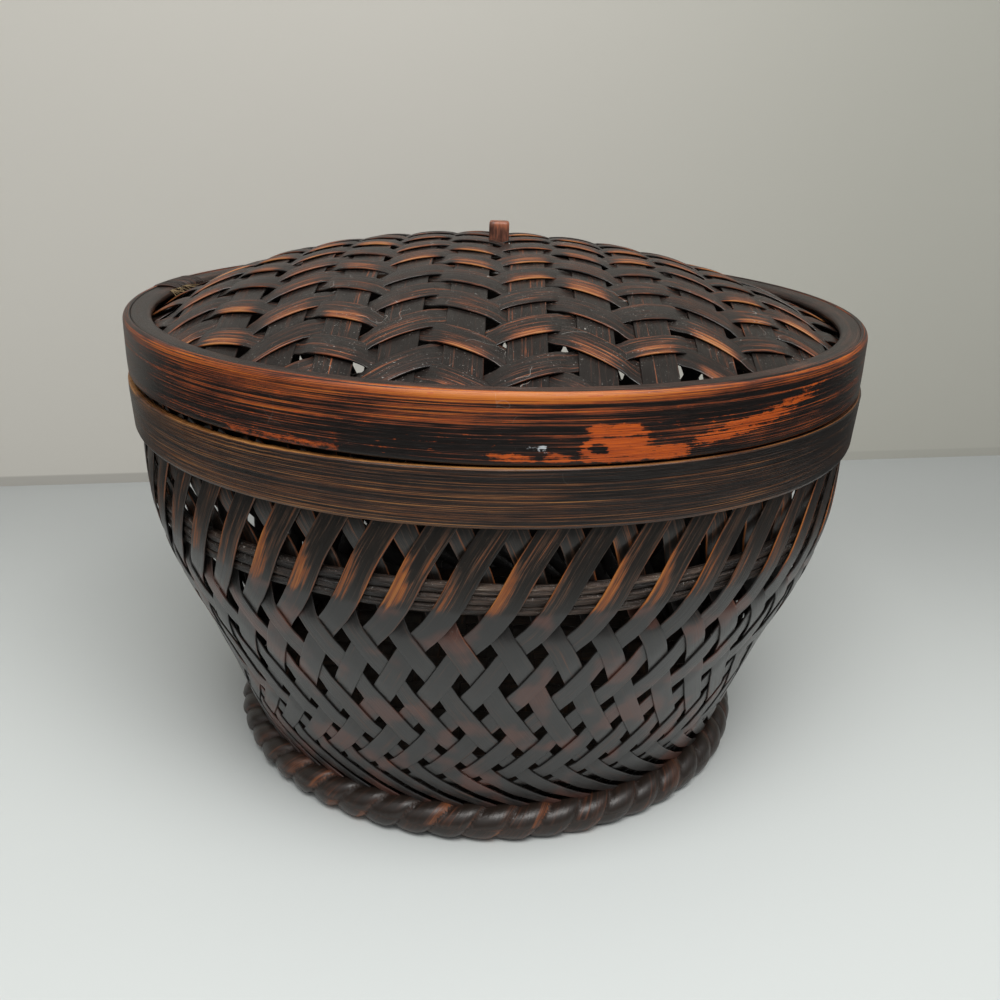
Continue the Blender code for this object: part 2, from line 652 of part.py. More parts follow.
def knob(lid):
    """The square knob, the washer under the weave and the pin through the knob's shank."""
    seat_z = DOME_APEX_Z + GAP
    top_z = seat_z + KNOB_HEIGHT
    washer_top = DOME_APEX_Z - 2 * LID_LAYER_STEP - STRIP_THICKNESS - LAYER_GAP
    washer_bottom = washer_top - WASHER_THICKNESS
    pin_z = washer_bottom - GAP - 0.5 * KNOB_PIN_SIDE
    shank_end = pin_z - 0.5 * KNOB_PIN_SIDE - GAP - SHANK_TAIL
    half = 0.5 * KNOB_SIDE
    shank = 0.5 * SHANK_SIDE
    profile = [
        (half - KNOB_ROUND, top_z),
        (half - 0.3 * KNOB_ROUND, top_z - 0.3 * KNOB_ROUND),
        (half, top_z - KNOB_ROUND),
        (half, seat_z),
        (shank, seat_z),
        (shank, shank_end),
    ]
    head = add_object("lid_knob", square_turning("lid_knob", profile), RED_WOOD, CANE_ROUGHNESS, parent=lid)
    hole = KNOB_PIN_SIDE + 2 * GAP
    cut_through(head, box("pin_hole", SHANK_SIDE + 2 * OVERRUN, hole, hole, (0.0, 0.0, pin_z)))

    root_two = math.sqrt(2.0)
    hole_corner = 0.5 * SHANK_HOLE_SIDE * root_two
    washer_corner = 0.5 * WASHER_SIDE * root_two
    frame = [
        (hole_corner, washer_bottom),
        (washer_corner, washer_bottom),
        (washer_corner, washer_top),
        (hole_corner, washer_top),
    ]
    washer = add_object("knob_washer", turned_ring("knob_washer", frame, 4), BROWN_LACQUER, parent=lid)
    washer.rotation_euler = (0.0, 0.0, math.radians(45.0))
    pin = box("knob_pin", KNOB_PIN_LENGTH, KNOB_PIN_SIDE, KNOB_PIN_SIDE, (0.0, 0.0, pin_z))
    add_object("knob_pin", pin, RED_WOOD, CANE_ROUGHNESS, parent=lid)


def build():
    """Make every piece of the basket, with the lid's pieces under one empty on its axis."""
    for old in list(bpy.data.objects):
        bpy.data.objects.remove(old, do_unlink=True)
    lid = bpy.data.objects.new("lid_lift", None)
    bpy.context.collection.objects.link(lid)
    foot_rope()
    base_slats()
    base_mat()
    wall_strips()
    middle_ring()
    body_hoops()
    lid_hoops(lid)
    lid_strips(lid)
    knob(lid)


build()
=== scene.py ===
"""Dressed model of a round split-bamboo food basket with a lift-off lid, in metres, +Z up.

The pieces come in the order in which the basket is put together: foot, base, wall, ring, body
hoops, lid hoops, lid weave and knob, and then the floor, the light and the camera. Angles round
the axis are measured from the front, -Y, towards +X. Every surface is worked out from formulas.
"""
import math

import bpy
import numpy as np
from mathutils import Matrix, Vector


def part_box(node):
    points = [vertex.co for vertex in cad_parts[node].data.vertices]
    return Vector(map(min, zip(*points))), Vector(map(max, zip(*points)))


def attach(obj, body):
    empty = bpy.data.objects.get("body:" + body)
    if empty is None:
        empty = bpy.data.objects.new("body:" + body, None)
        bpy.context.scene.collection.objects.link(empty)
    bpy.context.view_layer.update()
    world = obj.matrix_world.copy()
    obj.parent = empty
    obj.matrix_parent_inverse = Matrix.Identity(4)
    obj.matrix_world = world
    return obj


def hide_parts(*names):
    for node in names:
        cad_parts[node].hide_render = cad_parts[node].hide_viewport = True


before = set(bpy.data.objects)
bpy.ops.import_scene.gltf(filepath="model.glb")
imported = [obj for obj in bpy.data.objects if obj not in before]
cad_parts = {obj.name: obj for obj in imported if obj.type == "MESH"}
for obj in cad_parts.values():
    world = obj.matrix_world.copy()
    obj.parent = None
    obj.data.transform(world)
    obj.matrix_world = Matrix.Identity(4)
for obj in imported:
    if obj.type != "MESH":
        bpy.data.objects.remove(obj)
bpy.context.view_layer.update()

# Foot
# The foot is a rope-like border: the ends of the wall strips are wrapped round and round the
# bottom edge, each wrap leaning to the right and tucked under the next. The basket stands on it.
FOOT_RADIUS = 0.0812
ROPE_RADIUS = 0.0056
ROPE_CENTRE_Z = 0.0051
WRAP_COUNT = 53
WRAP_TWIST = 2
WRAP_RELIEF = 0.0014
chance = np.random.default_rng(53)


def polar(radius, angle, z):
    """Points at these radii, angles from the front and heights."""
    return np.stack(np.broadcast_arrays(radius * np.sin(angle), -radius * np.cos(angle), z), axis=-1)


def smooth_step(low, high, value):
    """0 below low, 1 above high, and an even S-shaped rise between them."""
    share = np.clip((value - low) / (high - low), 0.0, 1.0)
    return share * share * (3.0 - 2.0 * share)


def surface(name, points, place, wear_and_shade, round_rows=False, round_columns=True, caps=True):
    """A smooth mesh from grids of points, shaped (pieces, rows, columns, 3).

    Corner (i, j) joins (i + 1, j), (i + 1, j + 1) and (i, j + 1). Rows or columns that go right
    round join their last to their first, and open tubes get a cap at each end. place holds each
    point's distance along the grain, across it, and a number of its own strip, and wear_and_shade
    how far the lacquer has gone there; at -0.9 or lower it is painted shade instead, plain dark lacquer with none of
    the painted sheen.
    """
    pieces, rows, columns = points.shape[:3]
    index = np.arange(pieces * rows * columns).reshape(pieces, rows, columns)
    if round_rows:
        index = np.concatenate([index, index[:, :1]], axis=1)
    if round_columns:
        index = np.concatenate([index, index[:, :, :1]], axis=2)
    quads = np.stack([index[:, :-1, :-1], index[:, :-1, 1:], index[:, 1:, 1:], index[:, 1:, :-1]], axis=-1)
    loops = [quads.reshape(-1)]
    sizes = [np.full(quads.size // 4, 4)]
    if caps and round_columns and not round_rows:
        first = index[:, 0, :-1][:, ::-1]
        last = index[:, -1, :-1]
        loops += [first.reshape(-1), last.reshape(-1)]
        sizes += [np.full(2 * pieces, columns)]
    loops = np.concatenate(loops).astype(np.int32)
    sizes = np.concatenate(sizes).astype(np.int32)
    mesh = bpy.data.meshes.new(name)
    mesh.vertices.add(points.size // 3)
    mesh.vertices.foreach_set("co", points.reshape(-1).astype(np.float32))
    mesh.loops.add(len(loops))
    mesh.loops.foreach_set("vertex_index", loops)
    mesh.polygons.add(len(sizes))
    mesh.polygons.foreach_set("loop_start", np.concatenate([[0], np.cumsum(sizes)[:-1]]).astype(np.int32))
    mesh.polygons.foreach_set("use_smooth", np.ones(len(sizes), dtype=bool))
    mesh.update(calc_edges=True)
    stored = mesh.attributes.new("place", "FLOAT_VECTOR", "POINT")
    stored.data.foreach_set("vector", np.broadcast_to(place, points.shape).reshape(-1).astype(np.float32))
    stored = mesh.attributes.new("wear_and_shade", "FLOAT", "POINT")
    stored.data.foreach_set("value", np.broadcast_to(wear_and_shade, points.shape[:3]).reshape(-1).astype(np.float32))
    made = bpy.data.objects.new(name, mesh)
    bpy.context.collection.objects.link(made)
    return made


def add_node(tree, kind, inputs=None, **settings):
    """Add a shader node, set its properties, and give its inputs a value or a link."""
    made = tree.nodes.new(kind)
    for name, value in settings.items():
        setattr(made, name, value)
    for name, value in (inputs or {}).items():
        if isinstance(value, bpy.types.NodeSocket):
            tree.links.new(value, made.inputs[name])
        else:
            made.inputs[name].default_value = value
    return made


def arithmetic(tree, operation, first, second=0.0, clamp=False):
    """The result of one Math node."""
    made = add_node(tree, "ShaderNodeMath", {0: first, 1: second}, operation=operation, use_clamp=clamp)
    return made.outputs[0]


def rise(tree, value, low, high):
    """A Map Range node that rises smoothly from 0 at low to 1 at high."""
    made = add_node(
        tree,
        "ShaderNodeMapRange",
        {"Value": value, "From Min": low, "From Max": high},
        interpolation_type="SMOOTHSTEP",
    )
    return made.outputs["Result"]


def mix_colour(tree, factor, first, second, blend="MIX"):
    """The colour from one Mix node."""
    made = tree.nodes.new("ShaderNodeMix")
    made.data_type = "RGBA"
    made.blend_type = blend
    for socket, value in ((made.inputs[0], factor), (made.inputs[6], first), (made.inputs[7], second)):
        if isinstance(value, bpy.types.NodeSocket):
            tree.links.new(value, socket)
        elif socket.type == "RGBA":
            socket.default_value = (*value[:3], 1.0)
        else:
            socket.default_value = value
    return made.outputs[2]


def new_group(name, inputs, outputs):
    """A node group with these named sockets, and its input and output nodes."""
    group = bpy.data.node_groups.new(name, "ShaderNodeTree")
    for socket, kind, value in inputs:
        made = group.interface.new_socket(name=socket, in_out="INPUT", socket_type=kind)
        if value is not None:
            made.default_value = value
    for socket, kind in outputs:
        group.interface.new_socket(name=socket, in_out="OUTPUT", socket_type=kind)
    return group, group.nodes.new("NodeGroupInput").outputs, group.nodes.new("NodeGroupOutput").inputs


def split_grain():
    """Grain of split bamboo: long pale and dark fibres that run along the strip."""
    sockets = [("Place", "NodeSocketVector", None), ("Length", "NodeSocketFloat", 22.0)]
    sockets += [("Fineness", "NodeSocketFloat", 1100.0)]
    results = [("Streak", "NodeSocketFloat"), ("Fibre", "NodeSocketFloat"), ("Height", "NodeSocketFloat")]
    group, given, result = new_group("split_grain", sockets, results)
    parts = add_node(group, "ShaderNodeSeparateXYZ", {0: given["Place"]}).outputs
    along = arithmetic(group, "MULTIPLY", parts[0], given["Length"])
    across = arithmetic(group, "MULTIPLY", parts[1], given["Fineness"])
    own = arithmetic(group, "MULTIPLY", parts[2], 61.0)
    broad = add_node(group, "ShaderNodeCombineXYZ", {0: along, 1: across, 2: own}).outputs[0]
    streak = add_node(
        group, "ShaderNodeTexNoise", {"Vector": broad, "Scale": 1.0, "Detail": 4.0, "Roughness": 0.62}
    ).outputs["Fac"]
    finer = add_node(group, "ShaderNodeVectorMath", {0: broad, 1: (5.0, 3.4, 1.0)}, operation="MULTIPLY")
    fibre = add_node(
        group, "ShaderNodeTexNoise", {"Vector": finer.outputs[0], "Scale": 1.0, "Detail": 3.0, "Roughness": 0.6}
    ).outputs["Fac"]
    half = arithmetic(group, "MULTIPLY", fibre, 0.5)
    group.links.new(streak, result["Streak"])
    group.links.new(fibre, result["Fibre"])
    group.links.new(arithmetic(group, "ADD", streak, half), result["Height"])
    return group


def worn_lacquer():
    """Dark lacquer that wears along the grain, through red and orange, to bare amber bamboo."""
    sockets = [
        ("Place", "NodeSocketVector", None),
        ("Wear And Shade", "NodeSocketFloat", 0.0),
        ("Streak", "NodeSocketFloat", 0.5),
        ("Fibre", "NodeSocketFloat", 0.5),
        ("Lacquer", "NodeSocketColor", (0.012, 0.008, 0.006, 1.0)),
        ("Thin Lacquer", "NodeSocketColor", (0.075, 0.022, 0.010, 1.0)),
        ("Under Coat", "NodeSocketColor", (0.36, 0.085, 0.014, 1.0)),
        ("Bare", "NodeSocketColor", (0.66, 0.27, 0.055, 1.0)),
        ("Patchiness", "NodeSocketFloat", 0.5),
        ("Patch Size", "NodeSocketFloat", 110.0),
        ("Streakiness", "NodeSocketFloat", 1.5),
    ]
    results = [("Color", "NodeSocketColor"), ("Roughness", "NodeSocketFloat"), ("Amount", "NodeSocketFloat")]
    group, given, result = new_group("worn_lacquer", sockets, results)
    spread = add_node(
        group, "ShaderNodeVectorMath", {0: given["Place"], 1: (0.35, 1.0, 1.0)}, operation="MULTIPLY"
    ).outputs[0]
    patch = add_node(
        group,
        "ShaderNodeTexNoise",
        {"Vector": spread, "Scale": given["Patch Size"], "Detail": 5.0, "Roughness": 0.7},
    ).outputs["Fac"]
    patch = arithmetic(group, "MULTIPLY", arithmetic(group, "SUBTRACT", patch, 0.5), given["Patchiness"])
    patch = arithmetic(group, "MULTIPLY", patch, 3.0)
    fibre = arithmetic(group, "MULTIPLY", arithmetic(group, "SUBTRACT", given["Fibre"], 0.5), 0.6)
    grained = arithmetic(group, "ADD", arithmetic(group, "SUBTRACT", given["Streak"], 0.5), fibre)
    grained = arithmetic(group, "MULTIPLY", grained, given["Streakiness"])
    uneven = arithmetic(group, "ADD", patch, grained)
    amount = arithmetic(group, "ADD", given["Wear And Shade"], uneven)
    colour = mix_colour(group, rise(group, amount, 0.15, 0.55), given["Lacquer"], given["Thin Lacquer"])
    colour = mix_colour(group, rise(group, amount, 0.45, 0.85), colour, given["Under Coat"])
    colour = mix_colour(group, rise(group, amount, 0.80, 1.35), colour, given["Bare"])
    shine = add_node(
        group,
        "ShaderNodeMapRange",
        {"Value": amount, "From Min": 0.1, "From Max": 1.0, "To Min": 0.30, "To Max": 0.46},
    ).outputs["Result"]
    group.links.new(colour, result["Color"])
    group.links.new(shine, result["Roughness"])
    group.links.new(amount, result["Amount"])
    return group


def dust():
    """Pale specks and lint that settle on faces turned up."""
    sockets = [("Color", "NodeSocketColor", None), ("Amount", "NodeSocketFloat", 0.5)]
    group, given, result = new_group("dust", sockets, [("Color", "NodeSocketColor")])
    place = add_node(group, "ShaderNodeTexCoord").outputs["Object"]
    speck = add_node(
        group, "ShaderNodeTexNoise", {"Vector": place, "Scale": 2100.0, "Detail": 2.0, "Roughness": 0.5}
    ).outputs["Fac"]
    drift = add_node(
        group, "ShaderNodeTexNoise", {"Vector": place, "Scale": 90.0, "Detail": 4.0, "Roughness": 0.6}
    ).outputs["Fac"]
    level = arithmetic(group, "MULTIPLY", arithmetic(group, "MULTIPLY", given["Amount"], drift), 0.33)
    level = arithmetic(group, "SUBTRACT", 0.80, level)
    seen = arithmetic(group, "GREATER_THAN", speck, level)
    haze = arithmetic(group, "MULTIPLY", rise(group, drift, 0.35, 0.8), 0.05)
    haze = arithmetic(group, "MULTIPLY", haze, given["Amount"])
    facing = add_node(group, "ShaderNodeNewGeometry").outputs["Normal"]
    upward = add_node(group, "ShaderNodeSeparateXYZ", {0: facing}).outputs[2]
    lies = rise(group, upward, -0.2, 0.6)
    curl = add_node(group, "ShaderNodeTexNoise", {"Vector": place, "Scale": 150.0, "Detail": 0.6}).outputs["Fac"]
    apart = arithmetic(group, "ABSOLUTE", arithmetic(group, "SUBTRACT", curl, 0.5))
    hair = rise(group, apart, 0.0048, 0.0018)
    where = add_node(group, "ShaderNodeTexNoise", {"Vector": place, "Scale": 75.0, "Detail": 0.0}).outputs["Fac"]
    few = arithmetic(group, "SUBTRACT", 0.78, arithmetic(group, "MULTIPLY", given["Amount"], 0.16))
    lint = arithmetic(group, "MULTIPLY", hair, arithmetic(group, "GREATER_THAN", where, few))
    seen = arithmetic(group, "MAXIMUM", seen, lint)
    strength = arithmetic(group, "ADD", arithmetic(group, "MULTIPLY", seen, 0.55), haze)
    strength = arithmetic(group, "MULTIPLY", strength, lies, clamp=True)
    group.links.new(mix_colour(group, strength, given["Color"], (0.42, 0.40, 0.37)), result["Color"])
    return group


GRAIN = split_grain()
LACQUER = worn_lacquer()
DUST = dust()


def bamboo_finish(name, lacquer, dusty=0.3, bump=0.00012, grain=None, chips=None, painted_sheen=None):
    """A Principled material of lacquered bamboo, with the wear and the painted shade that the piece's own marks give.
    """
    made = bpy.data.materials.new(name)
    made.use_nodes = True
    tree = made.node_tree
    shader = tree.nodes["Principled BSDF"]
    place = add_node(tree, "ShaderNodeAttribute", attribute_name="place").outputs["Vector"]
    wear_and_shade = add_node(tree, "ShaderNodeAttribute", attribute_name="wear_and_shade").outputs["Fac"]
    fibres = tree.nodes.new("ShaderNodeGroup")
    fibres.node_tree = GRAIN
    tree.links.new(place, fibres.inputs["Place"])
    for socket, value in (grain or {}).items():
        fibres.inputs[socket].default_value = value
    coat_group = tree.nodes.new("ShaderNodeGroup")
    coat_group.node_tree = LACQUER
    tree.links.new(place, coat_group.inputs["Place"])
    tree.links.new(wear_and_shade, coat_group.inputs["Wear And Shade"])
    tree.links.new(fibres.outputs["Streak"], coat_group.inputs["Streak"])
    tree.links.new(fibres.outputs["Fibre"], coat_group.inputs["Fibre"])
    for socket, value in lacquer.items():
        coat_group.inputs[socket].default_value = (*value, 1.0) if isinstance(value, tuple) else value
    colour = coat_group.outputs["Color"]
    if chips:
        flaked = add_node(tree, "ShaderNodeAttribute", attribute_name="flaked").outputs["Fac"]
        spread = add_node(tree, "ShaderNodeVectorMath", {0: place, 1: (0.5, 1.0, 1.0)}, operation="MULTIPLY").outputs[0]
        ragged = add_node(
            tree, "ShaderNodeTexNoise", {"Vector": spread, "Scale": 700.0, "Detail": 4.0, "Roughness": 0.65}
        ).outputs["Fac"]
        ragged = arithmetic(tree, "MULTIPLY", arithmetic(tree, "SUBTRACT", ragged, 0.5), 1.9)
        along_grain = arithmetic(tree, "MULTIPLY", arithmetic(tree, "SUBTRACT", fibres.outputs["Streak"], 0.5), 3.0)
        level = arithmetic(tree, "ADD", arithmetic(tree, "ADD", flaked, ragged), along_grain)
        shaded = mix_colour(tree, rise(tree, fibres.outputs["Fibre"], 0.38, 0.60), chips[0], chips[1])
        colour = mix_colour(tree, rise(tree, level, 0.42, 0.62), colour, shaded)
        flecked = add_node(tree, "ShaderNodeAttribute", attribute_name="flecked").outputs["Fac"]
        flecks = arithmetic(tree, "ADD", flecked, arithmetic(tree, "MULTIPLY", ragged, 1.5))
        colour = mix_colour(tree, rise(tree, flecks, 1.05, 1.25), colour, (0.46, 0.49, 0.52))
    # Painted sheen: below the ring the colour turns grey with reddish patches, standing in for the pale table's
    # reflection in the lacquer; faces whose mark is far below zero get none of it
    if painted_sheen:
        place = add_node(tree, "ShaderNodeTexCoord").outputs["Object"]
        height = add_node(tree, "ShaderNodeSeparateXYZ", {0: place}).outputs[2]
        cloud = add_node(tree, "ShaderNodeTexNoise", {"Vector": place, "Scale": 75.0, "Detail": 2.0}).outputs["Fac"]
        tinted = mix_colour(tree, rise(tree, cloud, 0.50, 0.64), painted_sheen[2], painted_sheen[3])
        sheen_share = arithmetic(tree, "MULTIPLY", rise(tree, wear_and_shade, -0.9, -0.1), 0.62)
        sheened = mix_colour(tree, sheen_share, colour, tinted)
        edge = arithmetic(tree, "ADD", height, arithmetic(tree, "MULTIPLY", cloud, 0.003))
        colour = mix_colour(tree, rise(tree, edge, painted_sheen[1], painted_sheen[0]), colour, sheened)
    dusted = tree.nodes.new("ShaderNodeGroup")
    dusted.node_tree = DUST
    tree.links.new(colour, dusted.inputs["Color"])
    dusted.inputs["Amount"].default_value = dusty
    relief = add_node(
        tree,
        "ShaderNodeBump",
        {"Height": fibres.outputs["Height"], "Strength": 1.0, "Distance": bump},
    )
    tree.links.new(dusted.outputs["Color"], shader.inputs["Base Color"])
    tree.links.new(coat_group.outputs["Roughness"], shader.inputs["Roughness"])
    tree.links.new(relief.outputs["Normal"], shader.inputs["Normal"])
    return made


def finish(piece, material, slot, body, *nodes):
    """Give a piece its material and the body it rides on, and hide the nodes it stands for; slot is not used."""
    piece.data.materials.append(material)
    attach(piece, body)
    if nodes:
        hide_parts(*nodes)
    return piece


wrap_steps = 15
turn = np.arange(WRAP_COUNT * wrap_steps) / (WRAP_COUNT * wrap_steps) * math.tau
around = -np.arange(40) / 40 * math.tau
turn, around = np.meshgrid(turn, around, indexing="ij")
phase = WRAP_COUNT * turn / math.tau - WRAP_TWIST * around / math.tau + 0.35
within = phase - np.floor(phase)
wrap = np.floor(phase).astype(int) % WRAP_COUNT
wrap_size = 1.0 + 0.12 * chance.uniform(-1.0, 1.0, WRAP_COUNT)[wrap]
bulge = (1.0 - (1.0 - within) ** 3) * (1.0 - within**9) * wrap_size
tube = ROPE_RADIUS - WRAP_RELIEF + WRAP_RELIEF * bulge
rope_z = np.maximum(ROPE_CENTRE_Z + tube * np.sin(around), 0.0)
rope_points = polar(FOOT_RADIUS + tube * np.cos(around), turn, rope_z)
wrap_wear = chance.uniform(0.0, 1.0, WRAP_COUNT)[wrap] ** 2
rope_worn = 0.16 + 0.50 * wrap_wear * smooth_step(0.50, 0.95, within)
rope_worn = rope_worn + 0.25 * smooth_step(0.2, -0.9, np.sin(around)) * wrap_wear
rope_place = np.stack([around * ROPE_RADIUS, within * 0.0093, chance.random(WRAP_COUNT)[wrap]], axis=-1)
foot = surface("foot_wraps", rope_points[None], rope_place[None], rope_worn[None], round_rows=True, caps=False)
foot_finish = bamboo_finish(
    "foot_lacquer",
    {"Lacquer": (0.019, 0.013, 0.010), "Thin Lacquer": (0.060, 0.026, 0.016), "Under Coat": (0.20, 0.060, 0.018)},
    dusty=0.1,
    bump=0.00012,
)
finish(foot, foot_finish, "foot_cane", "basket", "foot_rope")

# Wall
# 53 strips lean each way. They are split bamboo 6.5 mm wide, lacquered after weaving, and cross
# over and under in rows, which crowd together towards the foot. Between the two top rows they
# part round a ring of cane, and their upper ends are clamped between the body's hoops.
STRIP_COUNT = 53
WIDTH_ROWS = np.array([-2.0, 0.5, 1.6, 3.0, 4.5, 6.0, 7.5, 9.0, 13.0])
STRIP_WIDTHS = np.array([0.0065, 0.0064, 0.0060, 0.0061, 0.0061, 0.0056, 0.0049, 0.0043, 0.0034])
STRIP_THICKNESS = 0.0005
PITCH = math.tau / STRIP_COUNT
FRONT_ANGLE = math.radians(-3.26)
# The whole weave is twisted a little: how far both sets have drifted round, in pitches, at these heights
DRIFT_HEIGHTS = np.array([0.007, 0.033, 0.041, 0.050, 0.061, 0.0725, 0.083, 0.088, 0.099, 0.109, 0.1245])
DRIFTS = np.array([-0.15, -0.11, -0.09, -0.04, 0.0, 0.04, 0.11, 0.17, 0.24, 0.30, 0.39])
LAYER = 0.00027
RING_ROOM = 0.0029
RING_LOW = 0.0860
RING_HIGH = 0.0938
BASE_Z = 0.0110
HOOP_BOTTOM_Z = 0.1094
WALL_HEIGHTS = np.array([0.006, 0.011, 0.016, 0.0225, 0.0275, 0.034, 0.042, 0.051, 0.062, 0.074, 0.0835, 0.090, 0.098, 0.1094, 0.1245])
WALL_RADII = np.array([0.0803, 0.0816, 0.0835, 0.0860, 0.0877, 0.0900, 0.0930, 0.0965, 0.1014, 0.1060, 0.1084, 0.1095, 0.10995, 0.1101, 0.1101])
ROW_HEIGHTS = np.array([0.0070, 0.0095, 0.0120, 0.0150, 0.0183, 0.0225, 0.0275, 0.0340, 0.0420, 0.0508, 0.0616, 0.0734, 0.0830, 0.0990, 0.1094, 0.1245])
ROW_NUMBERS = np.array([13.0, 12.0, 11.0, 10.0, 9.0, 8.0, 7.0, 6.0, 5.0, 4.0, 3.0, 2.0, 1.0, 0.0, -0.77, -1.85])
# In which rows a right-leaning strip passes outside a left-leaning one, from the top row down
ROW_SIDES = np.array([1, 1, -1, 1, -1, -1, 1, 1, -1, -1, -1, -1, -1, -1])


def smooth_curve(knots, values, at):
    """Read a curve through the knots that never swings past its values."""
    steps = np.diff(knots)
    slopes = np.diff(values) / steps
    low = slopes[:-1]
    high = slopes[1:]
    same = low * high > 0
    inner = np.where(same, 2 * low * high / np.where(same, low + high, 1.0), 0.0)
    tangents = np.concatenate([slopes[:1], inner, slopes[-1:]])
    at = np.clip(at, knots[0], knots[-1])
    index = np.clip(np.searchsorted(knots, at, side="right") - 1, 0, len(steps) - 1)
    step = steps[index]
    along = (at - knots[index]) / step
    return (
        values[index] * (1 + 2 * along) * (1 - along) ** 2
        + tangents[index] * step * along * (1 - along) ** 2
        + values[index + 1] * along**2 * (3 - 2 * along)
        + tangents[index + 1] * step * along**2 * (along - 1)
    )


def wall_radius(z):
    """The radius of the wall's outer face at this height."""
    return smooth_curve(WALL_HEIGHTS, WALL_RADII, z)


def row_number(z):
    """How many rows of crossings lie between the top row and this height."""
    return smooth_curve(ROW_HEIGHTS, ROW_NUMBERS, z)


def unit(vectors):
    """The vectors with a length of 1."""
    return vectors / np.linalg.norm(vectors, axis=-1, keepdims=True)


# Section of a split strip: a gently crowned outer face, eased edges and a flat inner face
SECTION_ACROSS = np.array([-1.0, -0.985, -0.94, -0.84, -0.4, 0.0, 0.4, 0.84, 0.94, 0.985, 1.0, 0.95, 0.0, -0.95])
SECTION_UP = np.array([0.0, 0.44, 0.5, 0.5, 0.5, 0.5, 0.5, 0.5, 0.5, 0.44, 0.0, -0.5, -0.5, -0.5])


def ribbon_points(centre, across, normal, width, thickness, lift, crown):
    """Points of flat strips: each station's section lies across its path, raised by lift.

    The outer face stands crown above its edges at the middle, less the square of the distance
    from the middle.
    """
    side = SECTION_ACROSS * 0.5 * width[..., None]
    up = SECTION_UP * thickness + np.where(SECTION_UP > 0, crown * (1.0 - SECTION_ACROSS**2), 0.0)
    raised = lift + up
    return centre[..., None, :] + across[..., None, :] * side[..., None] + normal[..., None, :] * raised[..., None]


